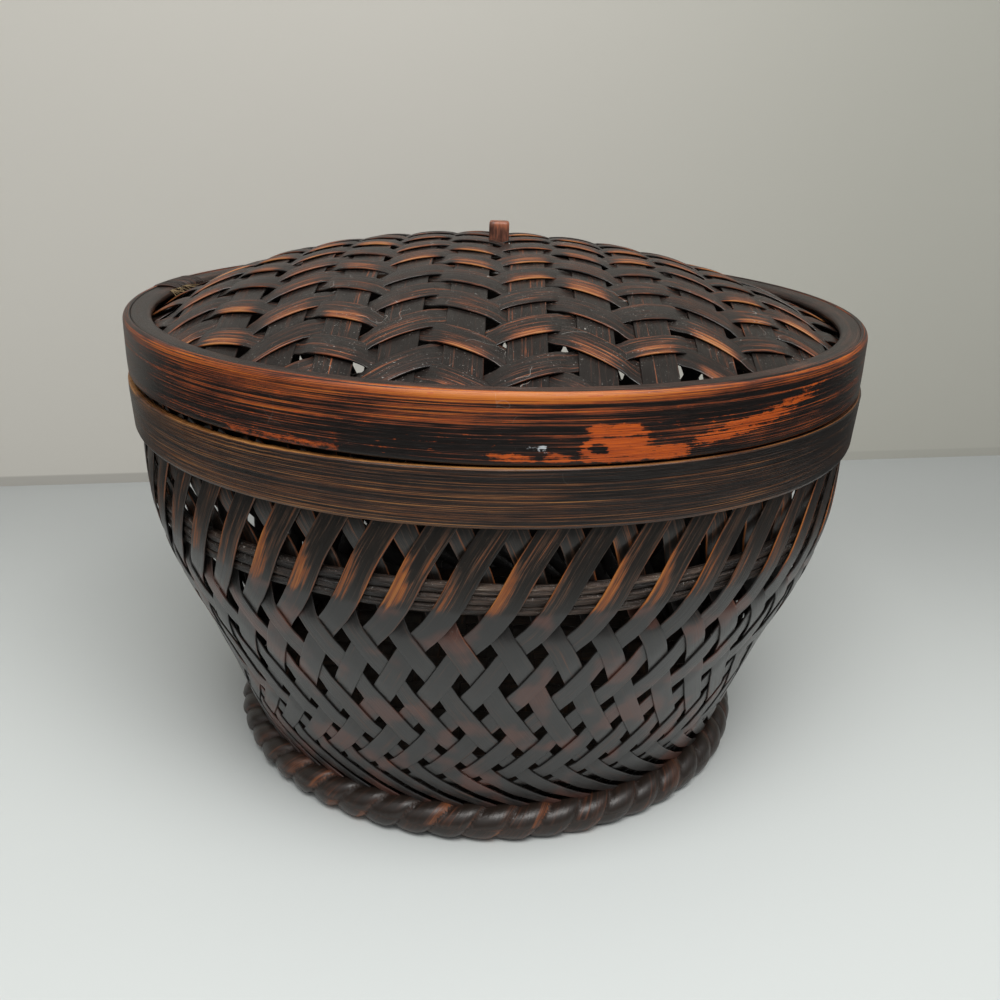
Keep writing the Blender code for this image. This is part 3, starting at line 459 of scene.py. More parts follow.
def wall_set(lean):
    """The strips that lean one way (+1 right, -1 left) as they rise: points, place and wear.

    A strip's angle is its number times the pitch, plus or less half a pitch for every row from
    the top. It stands out or in by one layer in each row, and changes side in the gaps between
    the strips that it crosses.
    """
    rows = 78
    number = np.linspace(-1.75, 12.2, rows)
    z = np.interp(number, ROW_NUMBERS[::-1], ROW_HEIGHTS[::-1])
    number = row_number(z)
    strip = np.arange(STRIP_COUNT)[:, None]
    wander = chance.normal(0.0, 0.012, (STRIP_COUNT, 1)) * smooth_step(12.0, 6.0, number)
    drift = smooth_curve(DRIFT_HEIGHTS, DRIFTS, z)
    turn = FRONT_ANGLE + (strip + wander + drift) * PITCH - lean * number * 0.5 * PITCH
    step = 1e-4
    slope = (wall_radius(z + step) - wall_radius(z - step)) / (2 * step)
    middle = wall_radius(z) - (0.5 * STRIP_THICKNESS + LAYER)
    centre = polar(middle + 0.0 * turn, turn, z + 0.0 * turn)
    outward = unit(np.stack([np.sin(turn), -np.cos(turn), -slope + 0.0 * turn], axis=-1))
    path = unit(np.gradient(centre, axis=1))
    across = unit(np.cross(path, outward))
    width = smooth_curve(WIDTH_ROWS, STRIP_WIDTHS, number) * (1.0 + 0.03 * chance.normal(0.0, 1.0, (STRIP_COUNT, 1)))
    width = width * (1.0 - (0.35 if lean < 0 else 0.0) * smooth_step(9.0, 11.5, number))
    back = smooth_step(0.35, -0.40, np.cos(turn))
    width = width * (1.0 + 0.55 * back * smooth_step(4.0, 7.0, number))

    side = SECTION_ACROSS * 0.5 * width[..., None]
    spot = centre[..., None, :] + across[..., None, :] * side[..., None]
    angle = np.arctan2(spot[..., 0], -spot[..., 1])
    height = spot[..., 2]
    steps = row_number(height)
    start = FRONT_ANGLE + (strip[..., None]) * PITCH
    gone = (angle - start + math.pi) % math.tau - math.pi
    crossed = -lean * (gone / PITCH - smooth_curve(DRIFT_HEIGHTS, DRIFTS, height)) + 0.5 * steps
    crossed = np.clip(crossed, 0.0, 12.999)
    row = np.floor(crossed).astype(int)
    between = crossed - row
    reach = 0.5 * smooth_curve(WIDTH_ROWS, STRIP_WIDTHS, steps) / (wall_radius(height) * PITCH)
    hold = np.clip(reach * (1.05 + 0.035 * steps), 0.0, 0.40)
    moved = smooth_step(hold, 1.0 - hold, between)
    out = lean * (ROW_SIDES[row] * (1.0 - moved) + ROW_SIDES[row + 1] * moved)
    lift = LAYER * out
    if lean < 0:
        room = smooth_step(0.0775, RING_LOW, height) * smooth_step(0.1075, RING_HIGH, height)
        lift = lift - RING_ROOM * room
    else:
        lift = lift - 0.0016 * smooth_step(8.4, 9.6, steps)
    points = ribbon_points(centre, across, outward, width, STRIP_THICKNESS, lift, 0.00008)

    length = np.concatenate([[0.0], np.cumsum(np.linalg.norm(np.diff(centre[0], axis=0), axis=-1))])
    own = chance.random((STRIP_COUNT, 1, 1))
    place = np.stack(
        np.broadcast_arrays(length[None, :, None] + own * 7.0, side, own + 0.0 * side), axis=-1
    )
    across_share = SECTION_ACROSS + 0.0 * side
    edge = smooth_step(0.84, 0.94, np.abs(across_share))
    wear_and_shade = 0.06 * own + 0.60 * edge * chance.random((STRIP_COUNT, 1, 1)) * smooth_step(0.070, 0.094, height)
    wear_and_shade = wear_and_shade + 0.13 * smooth_step(0.0870, 0.0920, height)
    crossing = (np.floor(crossed + 0.5) * 7.13 + strip[..., None] * 3.71) % 17
    luck = ((np.sin(crossing * 12.9898) * 43758.5453) % 1.0)
    crowned = smooth_step(0.3, 0.9, out)
    wear_and_shade = wear_and_shade + 0.22 * crowned * smooth_step(0.62, 1.0, luck) * smooth_step(1.0, 2.0, steps)
    if lean > 0:
        # The upper end of a right-leaning strip is rubbed along its left edge, more and more down to the ring
        fall = smooth_step(0.1060, 0.0890, height)
        bound = 1.0 - (0.95 + 0.55 * own) * fall
        left = smooth_step(bound - 0.10, bound + 0.45, across_share)
        shown = smooth_step(60.0, 5.0, np.degrees(np.abs(angle + 0.18)))
        rubbed = left * smooth_step(0.1050, 0.0990, height) * smooth_step(0.0858, 0.0872, height)
        wear_and_shade = wear_and_shade + (0.50 + 0.42 * own) * rubbed * (0.35 + 0.65 * shown)
        # Painted shade: the right-leaning strips of the lowest rows, set back behind the others, have their mark pushed
        # far below zero, so they get plain dark lacquer and no painted sheen
        wear_and_shade = wear_and_shade - 1.3 * smooth_step(8.9, 10.2, steps)
    # Painted shade on the inner faces: their mark is -1
    return points, place, np.where(SECTION_UP < 0, -1.0, wear_and_shade)


wall_finish = bamboo_finish(
    "wall_lacquer",
    {
        "Lacquer": (0.0100, 0.0076, 0.0060),
        "Thin Lacquer": (0.058, 0.031, 0.019),
        "Under Coat": (0.22, 0.060, 0.012),
        "Bare": (0.36, 0.122, 0.023),
        "Patchiness": 0.25,
        "Streakiness": 2.6,
    },
    dusty=0.45,
    bump=0.00009,
    # The painted sheen of the table's reflection: full below the first height, gone above the second, then its grey and
    # reddish colours
    painted_sheen=(0.0868, 0.0888, (0.032, 0.0315, 0.0315), (0.130, 0.055, 0.042)),
)
for lean, node in ((1, "wall_strips_outer"), (-1, "wall_strips_inner")):
    points, place, wear_and_shade = wall_set(lean)
    name = "wall_strips_right_leaning" if lean > 0 else "wall_strips_left_leaning"
    strips = surface(name, points, place, wear_and_shade)
    finish(strips, wall_finish, "wall_bamboo", "basket", node)

# Base
# The base is a mat of split bamboo, woven one over and one under, that closes the bottom inside
# the foot. Two crossed slats under it keep it flat.
MAT_PITCH = 0.0086
MAT_WIDTH = 0.0081
MAT_RADIUS = 0.0795
MAT_Z = 0.01195
MAT_WAVE = 0.00045


def mat_set(along_x):
    """The strips of the mat that run one way.

    A strip's height is a sine of the distance along it, with a half wave for each strip that it
    crosses, and the two ways have opposite signs.
    """
    count = 9
    number = np.arange(-count, count)[:, None]
    offset = (number + 0.5) * MAT_PITCH
    reach = np.sqrt(MAT_RADIUS**2 - (np.abs(offset) + 0.5 * MAT_WIDTH) ** 2)
    along = np.linspace(-1.0, 1.0, 90)[None, :] * reach
    wave = MAT_WAVE * np.sin(math.pi * along / MAT_PITCH) * (-1.0) ** number
    level = MAT_Z + 0.0 * along
    if along_x:
        centre = np.stack([along, offset + 0.0 * along, level], axis=-1)
        across = np.broadcast_to((0.0, -1.0, 0.0), centre.shape)
    else:
        wave = -wave
        centre = np.stack([offset + 0.0 * along, along, level], axis=-1)
        across = np.broadcast_to((1.0, 0.0, 0.0), centre.shape)
    normal = np.broadcast_to((0.0, 0.0, 1.0), centre.shape)
    width = MAT_WIDTH * (1.0 + 0.015 * chance.normal(0.0, 1.0, (2 * count, 1))) + 0.0 * along
    points = ribbon_points(centre, across, normal, width, STRIP_THICKNESS, wave[..., None], 0.00012)
    own = chance.random((2 * count, 1, 1))
    side = SECTION_ACROSS * 0.5 * width[..., None]
    place = np.stack(np.broadcast_arrays(along[..., None] + 5.0 * own, side, own + 0.0 * side), axis=-1)
    wear_and_shade = 0.15 + 0.25 * own + 0.0 * side
    return points, place, wear_and_shade


# The pieces inside the basket are a very dark brown: partly their own dark bamboo, partly painted shade for the inside
# of the closed basket
brown_finish = bamboo_finish(
    "brown_bamboo",
    {"Lacquer": (0.013, 0.008, 0.005), "Thin Lacquer": (0.034, 0.018, 0.010), "Under Coat": (0.12, 0.06, 0.028)},
    dusty=0.0,
    bump=0.00012,
)
first_set = mat_set(True)
second_set = mat_set(False)
mat_points, mat_place, mat_worn = (np.concatenate(pair) for pair in zip(first_set, second_set))
finish(surface("base_weave", mat_points, mat_place, mat_worn), brown_finish, "brown_bamboo", "basket", "base_mat")

for node, along_axis in (("base_slat_upper", 0), ("base_slat_lower", 1)):
    low, high = (np.array(corner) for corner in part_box(node))
    steps = np.linspace(0.0, 1.0, 40)[None, :, None]
    middle = 0.5 * (low + high)
    start = middle.copy()
    stop = middle.copy()
    start[along_axis] = low[along_axis]
    stop[along_axis] = high[along_axis]
    centre = start + (stop - start) * steps
    path = unit(stop - start)
    across = np.broadcast_to(np.cross(path, (0.0, 0.0, -1.0)), centre.shape)
    normal = np.broadcast_to((0.0, 0.0, -1.0), centre.shape)
    width = np.full(centre.shape[:2], (high - low)[1 - along_axis])
    thickness = (high - low)[2] - 0.0004
    lift = np.full((1, 40, 1), -0.0002)
    points = ribbon_points(centre, across, normal, width, thickness, lift, 0.0004)
    side = SECTION_ACROSS * 0.5 * width[..., None]
    place = np.stack(np.broadcast_arrays(steps * 0.15, side, 0.3 + along_axis), axis=-1)
    slat = surface(node.replace("base_slat", "split_slat"), points, place, 0.35)
    finish(slat, brown_finish, "brown_bamboo", "basket", node)

# Middle ring
# Split canes lie one above the other in the gap where the two sets of strips part. They are
# bare, dry and fibrous, and only the crossing strips hold them.


def cane_points(low, high, outside, thickness, columns=22, stations=720):
    """A rough split cane that goes round the wall.

    Its section is a rounded box, |r|^4 + |z|^4 = 1, and each of its section's points wanders in
    and out by a sum of sines of the angle, so that fibres stand along it.
    """
    turn = np.linspace(-math.pi, math.pi, stations, endpoint=False)[:, None]
    loop = -np.arange(columns)[None, :] / columns * math.tau
    shape = (np.abs(np.cos(loop)) ** 4 + np.abs(np.sin(loop)) ** 4) ** -0.25
    waves = np.arange(2, 30)[:, None, None]
    phases = chance.uniform(0.0, math.tau, (len(waves), 1, columns))
    rough = (np.sin(waves * turn[None] + phases) / np.sqrt(waves)).sum(axis=0)
    swell = 1.0 + 0.035 * rough + 0.05 * chance.normal(0.0, 1.0, (1, columns))
    half_height = 0.5 * (high - low)
    half_depth = 0.5 * thickness
    bob = 0.00022 * np.sin(5.0 * turn + low * 9000.0) + 0.00012 * np.sin(13.0 * turn + low * 5000.0)
    z = 0.5 * (low + high) + bob + half_height * np.clip(shape * swell, 0.0, 1.25) * np.sin(loop)
    radius = outside - half_depth + half_depth * np.clip(shape * swell, 0.0, 1.12) * np.cos(loop)
    points = polar(radius, turn, z)
    place = np.stack(
        np.broadcast_arrays(turn * outside, loop / math.tau * 0.008, low * 300.0), axis=-1
    )
    dry = smooth_step(38.0, 8.0, np.degrees(np.abs(turn - 0.16)))
    wear_and_shade = 0.30 + 0.9 * (swell - 1.0) + 0.22 * dry + 0.0 * points[..., 0]
    return points[None], place[None], wear_and_shade[None]


cane_finish = bamboo_finish(
    "bare_cane",
    {
        "Lacquer": (0.008, 0.0052, 0.004),
        "Thin Lacquer": (0.032, 0.019, 0.013),
        "Under Coat": (0.085, 0.055, 0.040),
        "Bare": (0.34, 0.29, 0.23),
        "Patchiness": 0.75,
        "Patch Size": 170.0,
    },
    dusty=0.8,
    bump=0.00035,
    grain={"Length": 45.0, "Fineness": 3400.0},
)
for index in range(3):
    node = f"ring_cane_{index + 1}"
    low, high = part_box(node)
    outside = float(wall_radius(np.array(low.z))) - STRIP_THICKNESS - 0.00022
    points, place, wear_and_shade = cane_points(low.z - 0.0001, high.z + 0.0001, outside, 0.0026)
    cane = surface(f"split_cane_{index + 1}", points, place, wear_and_shade, round_rows=True, caps=False)
    finish(cane, cane_finish, "ring_cane", "basket", node)

# Body hoops
# A wide bent hoop of bamboo, lacquered black over brown, clamps the wall strips against an inner
# hoop. A thin collar inside that one stands above the rim and locates the lid.
HOOP_STATIONS = 720
RIM_RADIUS = 0.1125
BODY_TOP = 0.1245


def hoop_points(profile, slack=None):
    """A closed section of (radius, z) points carried round the axis, up its inside, down its outside.

    slack, if given, moves each station's points by its own (radius, z).
    """
    turn = np.linspace(-math.pi, math.pi, HOOP_STATIONS, endpoint=False)[:, None]
    profile = np.array(profile)
    radius = profile[None, :, 0] + 0.0 * turn
    z = profile[None, :, 1] + 0.0 * turn
    if slack is not None:
        moved = slack(turn, radius, z)
        radius = radius + moved[0]
        z = z + moved[1]
    gone = np.linalg.norm(np.diff(profile, axis=0), axis=1)
    across = np.concatenate([[0.0], np.cumsum(gone)])[None, :]
    points = polar(radius, turn, z)
    place = np.stack(np.broadcast_arrays(turn * RIM_RADIUS, across, 0.5), axis=-1)
    return points, place, np.degrees(turn) + 0.0 * radius, z


def eased_corner(radius, z, reach_in, reach_down, steps):
    """A quarter ellipse from the top face, reach_in from the corner, to the outer face below it."""
    angle = np.linspace(0.0, 0.5 * math.pi, steps)
    across = radius - reach_in * (1.0 - np.sin(angle))
    down = z - reach_down * (1.0 - np.cos(angle))
    return list(zip(across, down))


def blob(angle, z, centre, middle, half_angle, half_height, edge=0.35, tilt=0.0):
    """1 inside an oval at (centre, middle) and 0 outside it, soft over the given share of it."""
    lean = middle + tilt * (angle - centre)
    far = ((angle - centre) / half_angle) ** 4 + ((z - lean) / half_height) ** 4
    return smooth_step(1.0 + edge, 1.0 - edge, far**0.25)


low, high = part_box("body_outer_hoop")
hoop_low = low.z
body_profile = [(0.1104, hoop_low + 0.0003), (0.1104, 0.1170), (0.1104, BODY_TOP - 0.0002), (0.1110, BODY_TOP)]
body_profile += eased_corner(high.x, BODY_TOP, 0.0005, 0.0005, 5)
face = np.linspace(BODY_TOP - 0.0008, hoop_low + 0.0010, 20)
body_profile += [(0.1120 + 0.0009 * (z - hoop_low) / 0.0151, z) for z in face]
body_profile += [(0.1118, hoop_low + 0.0003), (0.1112, hoop_low)]


def sunk_edge(turn, radius, z):
    """The hoop's top edge is rubbed down on the left, where the lid sits a little proud."""
    left = smooth_step(-2.3, -1.2, turn) * smooth_step(0.15, -0.75, turn)
    share = smooth_step(BODY_TOP - 0.0040, BODY_TOP, z)
    ragged = 0.00012 * np.sin(61.0 * turn) + 0.00009 * np.sin(137.0 * turn + 1.0)
    bend = -0.0001 - 0.0001 * np.sin(3.0 * turn + 1.0)
    return bend - 0.0002 * left * share, -share * (0.0009 * left + np.abs(ragged) * left)


body_points, body_place, angle, z = hoop_points(body_profile, sunk_edge)
outer_face = smooth_step(0.0, 4.0, np.arange(len(body_profile)) - 2.0)[None, :]
streaky = smooth_step(22.0, -4.0, angle) * smooth_step(-66.0, -40.0, angle)
body_worn = -0.03 + 0.33 * streaky + 0.04 * (1.0 + np.sin(np.radians(3.0 * angle + 40.0)))
body_worn = body_worn + 0.42 * smooth_step(hoop_low + 0.0016, hoop_low + 0.0004, z) * smooth_step(70.0, 10.0, np.abs(angle + 5.0))
top_edge = smooth_step(BODY_TOP - 0.0005, BODY_TOP - 0.0001, z + 0.0009 * smooth_step(8.0, -40.0, angle))
body_worn = body_worn + (0.35 + 0.35 * smooth_step(60.0, 0.0, np.abs(angle + 25.0))) * top_edge
under_brim = smooth_step(BODY_TOP - 0.0036, BODY_TOP - 0.0026, z) * smooth_step(BODY_TOP - 0.0004, BODY_TOP - 0.0007, z)
body_worn = body_worn - 0.28 * under_brim * smooth_step(-40.0, -8.0, angle)
body_worn = body_worn + 0.9 * blob(angle, z, -66.0, BODY_TOP - 0.0010, 6.0, 0.0009, 0.5)
hoop_lacquer = {
    "Lacquer": (0.0075, 0.0050, 0.004),
    "Thin Lacquer": (0.045, 0.018, 0.009),
    "Under Coat": (0.150, 0.047, 0.011),
    "Bare": (0.36, 0.165, 0.045),
    "Patchiness": 0.40,
    "Patch Size": 70.0,
    "Streakiness": 5.0,
}
hoop_grain = {"Length": 13.0, "Fineness": 4600.0}
body_hoop_finish = bamboo_finish("body_hoop_lacquer", hoop_lacquer, dusty=0.25, bump=0.00010, grain=hoop_grain)
body_hoop = surface("body_hoop", body_points[None], body_place[None], body_worn[None], round_rows=True, caps=False)
finish(body_hoop, body_hoop_finish, "black_hoop", "basket", "body_outer_hoop")


def plain_hoop(name, node, body, lead_in=0.0004, wear_and_shade=0.3):
    """A thin bent hoop that fills its node's box, with eased edges."""
    low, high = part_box(node)
    inside = plain_hoops[node]
    heights = np.linspace(high.z - 0.0012, low.z + 0.0012, 6)
    profile = [(inside, low.z + 0.0003)] + [(inside, z) for z in heights[::-1]] + [(inside + 0.0003, high.z)]
    profile += eased_corner(high.x, high.z, lead_in, lead_in, 4)
    profile += [(high.x, z) for z in heights] + [(high.x - 0.0003, low.z)]
    points, place, _, _ = hoop_points(profile)
    made = surface(name, points[None], place[None], wear_and_shade, round_rows=True, caps=False)
    return finish(made, brown_finish, "brown_bamboo", body, node)


# The inner radii of the thin hoops, which their boxes don't give
plain_hoops = {"body_inner_hoop": 0.1062, "lid_seat_collar": 0.1040, "lid_inner_hoop": 0.1067}
plain_hoop("body_clamp_hoop", "body_inner_hoop", "basket")
plain_hoop("lid_collar", "lid_seat_collar", "basket", 0.0008, 0.25)

# Lid hoops
# The lid's hoop is a wide bent band whose black lacquer has worn through to red and amber along
# its upper edge, and flaked off in patches. A flat strip inside it covers the ends of the weave.
LID_LOW = 0.1248
LID_HIGH = 0.1420
AMBER = (0.45, 0.125, 0.006)
CHIPPED = ((0.24, 0.034, 0.006), (0.56, 0.098, 0.005))

lid_profile = [(0.1104, LID_LOW + 0.0003), (0.1104, 0.1330), (0.1104, LID_HIGH - 0.0003), (0.1106, LID_HIGH - 0.0001)]
lid_profile += eased_corner(RIM_RADIUS, LID_HIGH, 0.0016, 0.0020, 8)
lid_face = np.linspace(LID_HIGH - 0.0026, LID_LOW + 0.0008, 24)
lid_profile += [(RIM_RADIUS - 0.00025 * ((z - 0.1325) / 0.0080) ** 2 * (z < 0.1325), z) for z in lid_face]
lid_profile += [(RIM_RADIUS - 0.0004, LID_LOW + 0.0002), (RIM_RADIUS - 0.0009, LID_LOW)]


def lid_sway(turn, radius, z):
    """The band isn't perfectly round, and its edges rise and fall a little."""
    bend = -0.00012 - 0.00012 * np.sin(2.0 * turn + 0.6)
    edge = 0.00012 * np.sin(5.0 * turn) * smooth_step(0.1300, LID_LOW, z)
    lifted = 0.0005 * smooth_step(-2.4, -1.2, turn) * smooth_step(0.1, -0.7, turn)
    return bend + 0.0 * z, np.abs(edge) + lifted * smooth_step(0.1290, LID_LOW, z)


lid_points, lid_place, angle, z = hoop_points(lid_profile, lid_sway)
on_face = (np.arange(len(lid_profile)) > 3)[None, :]
brink = smooth_step(LID_HIGH - 0.0031, LID_HIGH - 0.0022, z) * smooth_step(LID_HIGH + 0.0001, LID_HIGH - 0.0004, z) * on_face
glow = np.exp(-(((angle - 5.0) / 17.0) ** 2))
lid_worn = 0.05 + 0.06 * smooth_step(70.0, 25.0, np.abs(angle))
lid_worn = lid_worn + 0.18 * blob(angle, z, -24.0, 0.1372, 25.0, 0.0032, 0.5)
lid_worn = lid_worn + 0.20 * blob(angle, z, -6.5, 0.1350, 5.5, 0.0027, 0.4)
lid_worn = lid_worn + 0.20 * blob(angle, z, 20.0, 0.1368, 32.0, 0.0022, 0.5)
lid_worn = lid_worn + 0.20 * blob(angle, z, 36.0, 0.1295, 14.0, 0.0028, 0.5)
lid_worn = lid_worn - 0.30 * blob(angle, z, 28.0, 0.1350, 8.0, 0.0018, 0.4)
lid_worn = lid_worn - 0.22 * blob(angle, z, -12.0, 0.1290, 24.0, 0.0028, 0.4)
fringe = smooth_step(88.0, 52.0, np.abs(angle - 3.0))
lid_worn = lid_worn + brink * (0.42 * fringe + 0.93 * glow)
flaked = 1.0 * blob(angle, z, 14.5, 0.1330, 3.6, 0.0014)
flaked = np.maximum(flaked, blob(angle, z, 14.8, 0.1285, 4.2, 0.0030) - 0.9 * blob(angle, z, 12.6, 0.1288, 1.0, 0.0012))
flaked = np.maximum(flaked, blob(angle, z, 21.2, 0.1270, 2.9, 0.0016))
flaked = np.maximum(flaked, 0.84 * blob(angle, z, 33.0, 0.1312, 7.5, 0.0019, 0.45, 0.00028))
flaked = np.maximum(flaked, 0.66 * blob(angle, z, 42.0, 0.1352, 5.0, 0.0017, 0.6, 0.0003))
flaked = np.maximum(flaked, 0.75 * blob(angle, z, 2.4, 0.1270, 2.6, 0.0009))
flaked = np.maximum(flaked, 0.75 * blob(angle, z, 7.8, 0.1268, 1.6, 0.0011))
flaked = np.maximum(flaked, 0.70 * blob(angle, z, -26.0, 0.1262, 9.0, 0.0009))
lid_hoop = surface("lid_hoop", lid_points[None], lid_place[None], lid_worn[None], round_rows=True, caps=False)
stored = lid_hoop.data.attributes.new("flaked", "FLOAT", "POINT")
stored.data.foreach_set("value", np.clip(flaked, 0.0, 1.0).reshape(-1).astype(np.float32))
stored = lid_hoop.data.attributes.new("flecked", "FLOAT", "POINT")
flecked = blob(angle, z, 5.5, 0.1288, 1.7, 0.0021, 0.8)
stored.data.foreach_set("value", flecked.reshape(-1).astype(np.float32))
lid_hoop_finish = bamboo_finish(
    "lid_hoop_lacquer",
    {
        "Lacquer": (0.0065, 0.0045, 0.004),
        "Thin Lacquer": (0.070, 0.021, 0.010),
        "Under Coat": (0.28, 0.050, 0.007),
        "Bare": AMBER,
        "Patchiness": 0.55,
        "Patch Size": 75.0,
        "Streakiness": 4.4,
    },
    dusty=0.25,
    bump=0.00008,
    grain={"Length": 15.0, "Fineness": 3400.0},
    chips=CHIPPED,
)
finish(lid_hoop, lid_hoop_finish, "black_hoop", "lid", "lid_outer_hoop")

low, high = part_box("lid_rim_strip")
strip_inside = 0.1046
strip_top = LID_HIGH - 0.00025
strip_profile = [(strip_inside, low.z + 0.0002), (strip_inside, low.z + 0.0008)]
strip_profile += [(strip_inside + 0.0001, strip_top - 0.0011), (strip_inside + 0.0005, strip_top - 0.0006)]
strip_profile += [(r, strip_top - 0.00022 * ((0.1092 - r) / 0.0032) ** 2) for r in np.linspace(0.1060, 0.1098, 5)]
strip_profile += [(0.1102, strip_top - 0.0001), (0.1103, strip_top - 0.0003), (0.1103, low.z + 0.0002)]
strip_points, strip_place, angle, z = hoop_points(strip_profile)
strip_worn = 0.24 + 0.12 * np.sin(np.radians(2.0 * angle + 20.0)) * smooth_step(90.0, 30.0, np.abs(angle))
rim_strip = surface("lid_cover_strip", strip_points[None], strip_place[None], strip_worn[None], round_rows=True, caps=False)
rim_finish = bamboo_finish(
    "rim_lacquer",
    {"Lacquer": (0.012, 0.008, 0.0065), "Thin Lacquer": (0.060, 0.031, 0.023), "Under Coat": (0.15, 0.07, 0.04)},
    dusty=0.25,
    bump=0.00010,
    grain=hoop_grain,
)
finish(rim_strip, rim_finish, "black_hoop", "lid", "lid_rim_strip")
plain_hoop("lid_clamp_hoop", "lid_inner_hoop", "lid")

# The ends of the lid's hoop overlap at the left, where a thin cane is lashed over the rim
LASH_STEPS = np.array([0.0, 0.2, 0.4, 0.6, 0.8, 1.0])
LASH_RADII = np.array([0.1043, 0.1045, 0.1064, 0.1092, 0.1114, 0.1122])
LASH_HEIGHTS = np.array([0.1385, 0.1409, 0.1420, 0.1422, 0.1417, 0.1403])
turn = np.radians(-99.0 + 1.15 * (np.arange(9) - 4.0) + chance.normal(0.0, 0.12, 9))[:, None]
turn = turn + np.radians(1.6) * (np.linspace(0.0, 1.0, 20)[None, :] - 0.5)
steps = np.linspace(0.0, 1.0, 20)[None, :]
centre = polar(smooth_curve(LASH_STEPS, LASH_RADII, steps), turn, smooth_curve(LASH_STEPS, LASH_HEIGHTS, steps))
path = unit(np.gradient(centre, axis=1))
along_rim = np.stack(np.broadcast_arrays(-np.cos(turn), -np.sin(turn), 0.0), axis=-1)
outward = unit(np.cross(along_rim, path))
across = unit(np.cross(path, outward))
width = 0.0019 + 0.0 * turn
points = ribbon_points(centre, across, outward, width, 0.0004, np.zeros((1, 20, 1)), 0.00025)
side = SECTION_ACROSS * 0.5 * width[..., None]
place = np.stack(np.broadcast_arrays(steps[..., None] * 0.02, side, np.arange(9)[:, None, None] * 0.37), axis=-1)
lashing = surface("rim_lashing", points, place, 0.25)
finish(lashing, rim_finish, "black_hoop", "lid")

start = np.radians(chance.uniform(-98.0, -91.0, (22, 1)))
steps = np.linspace(0.0, 1.0, 10)[None, :]
turn = start + np.radians(chance.uniform(-5.0, 5.0, (22, 1))) * steps
radius = 0.1050 - chance.uniform(0.0015, 0.0060, (22, 1)) * steps
centre = polar(radius, turn, 0.1413 - chance.uniform(0.0000, 0.0012, (22, 1)) * steps**2)
path = unit(np.gradient(centre, axis=1))
outward = np.broadcast_to((0.0, 0.0, 1.0), centre.shape)
across = unit(np.cross(path, outward))
outward = unit(np.cross(across, path))
points = ribbon_points(centre, across, outward, 0.00020 + 0.0 * turn, 0.00012, np.zeros((1, 10, 1)), 0.00003)
frayed = surface("frayed_fibres", points, np.zeros(3), 1.3)
frayed_finish = bamboo_finish("tan_fibre", {"Bare": (0.20, 0.145, 0.070), "Patchiness": 0.1}, dusty=0.0)
finish(frayed, frayed_finish, "black_hoop", "lid")

# Lid weave
# The dome is woven in three directions. Straight strips run from front to back, and the other two
# sets cross them at 60 degrees, each passing over every other straight strip and under the rest,
# so that raised arcs point one way and then the other.
DOME_EDGE = 0.1046
DOME_EDGE_Z = 0.1390
DOME_APEX_Z = 0.1605
DOME_SPHERE = 0.2652
DOME_DEPTH = 0.0018
DOME_SHOULDER = 0.0014
DOME_LEAN = 0.0010
COLUMN_PITCH = 0.0155
ROW_PITCH = 0.0164
WEAVE_TURN = math.atan2(COLUMN_PITCH, 0.5 * ROW_PITCH)
STRAIGHT_X = 0.0088
RISING_Y = 0.0042
FALLING_Y = 0.0064
STRAIGHT_WIDTH = 0.0098
SLANTING_WIDTH = 0.0078
ARC_HEIGHT = 0.0009


def dome_height(x, y):
    """The height of the weave's middle: a cap with full shoulders, leaning a little to the left."""
    far = np.minimum(np.hypot(x, y), DOME_EDGE)
    part = far / DOME_EDGE
    shoulder = DOME_SHOULDER * (1.0 + 1.6 * part**2) - 1.6 * DOME_LEAN * x / DOME_EDGE
    cap = DOME_APEX_Z - DOME_DEPTH - (DOME_SPHERE - np.sqrt(DOME_SPHERE**2 - far**2))
    return cap + shoulder * (1.0 - part**4)


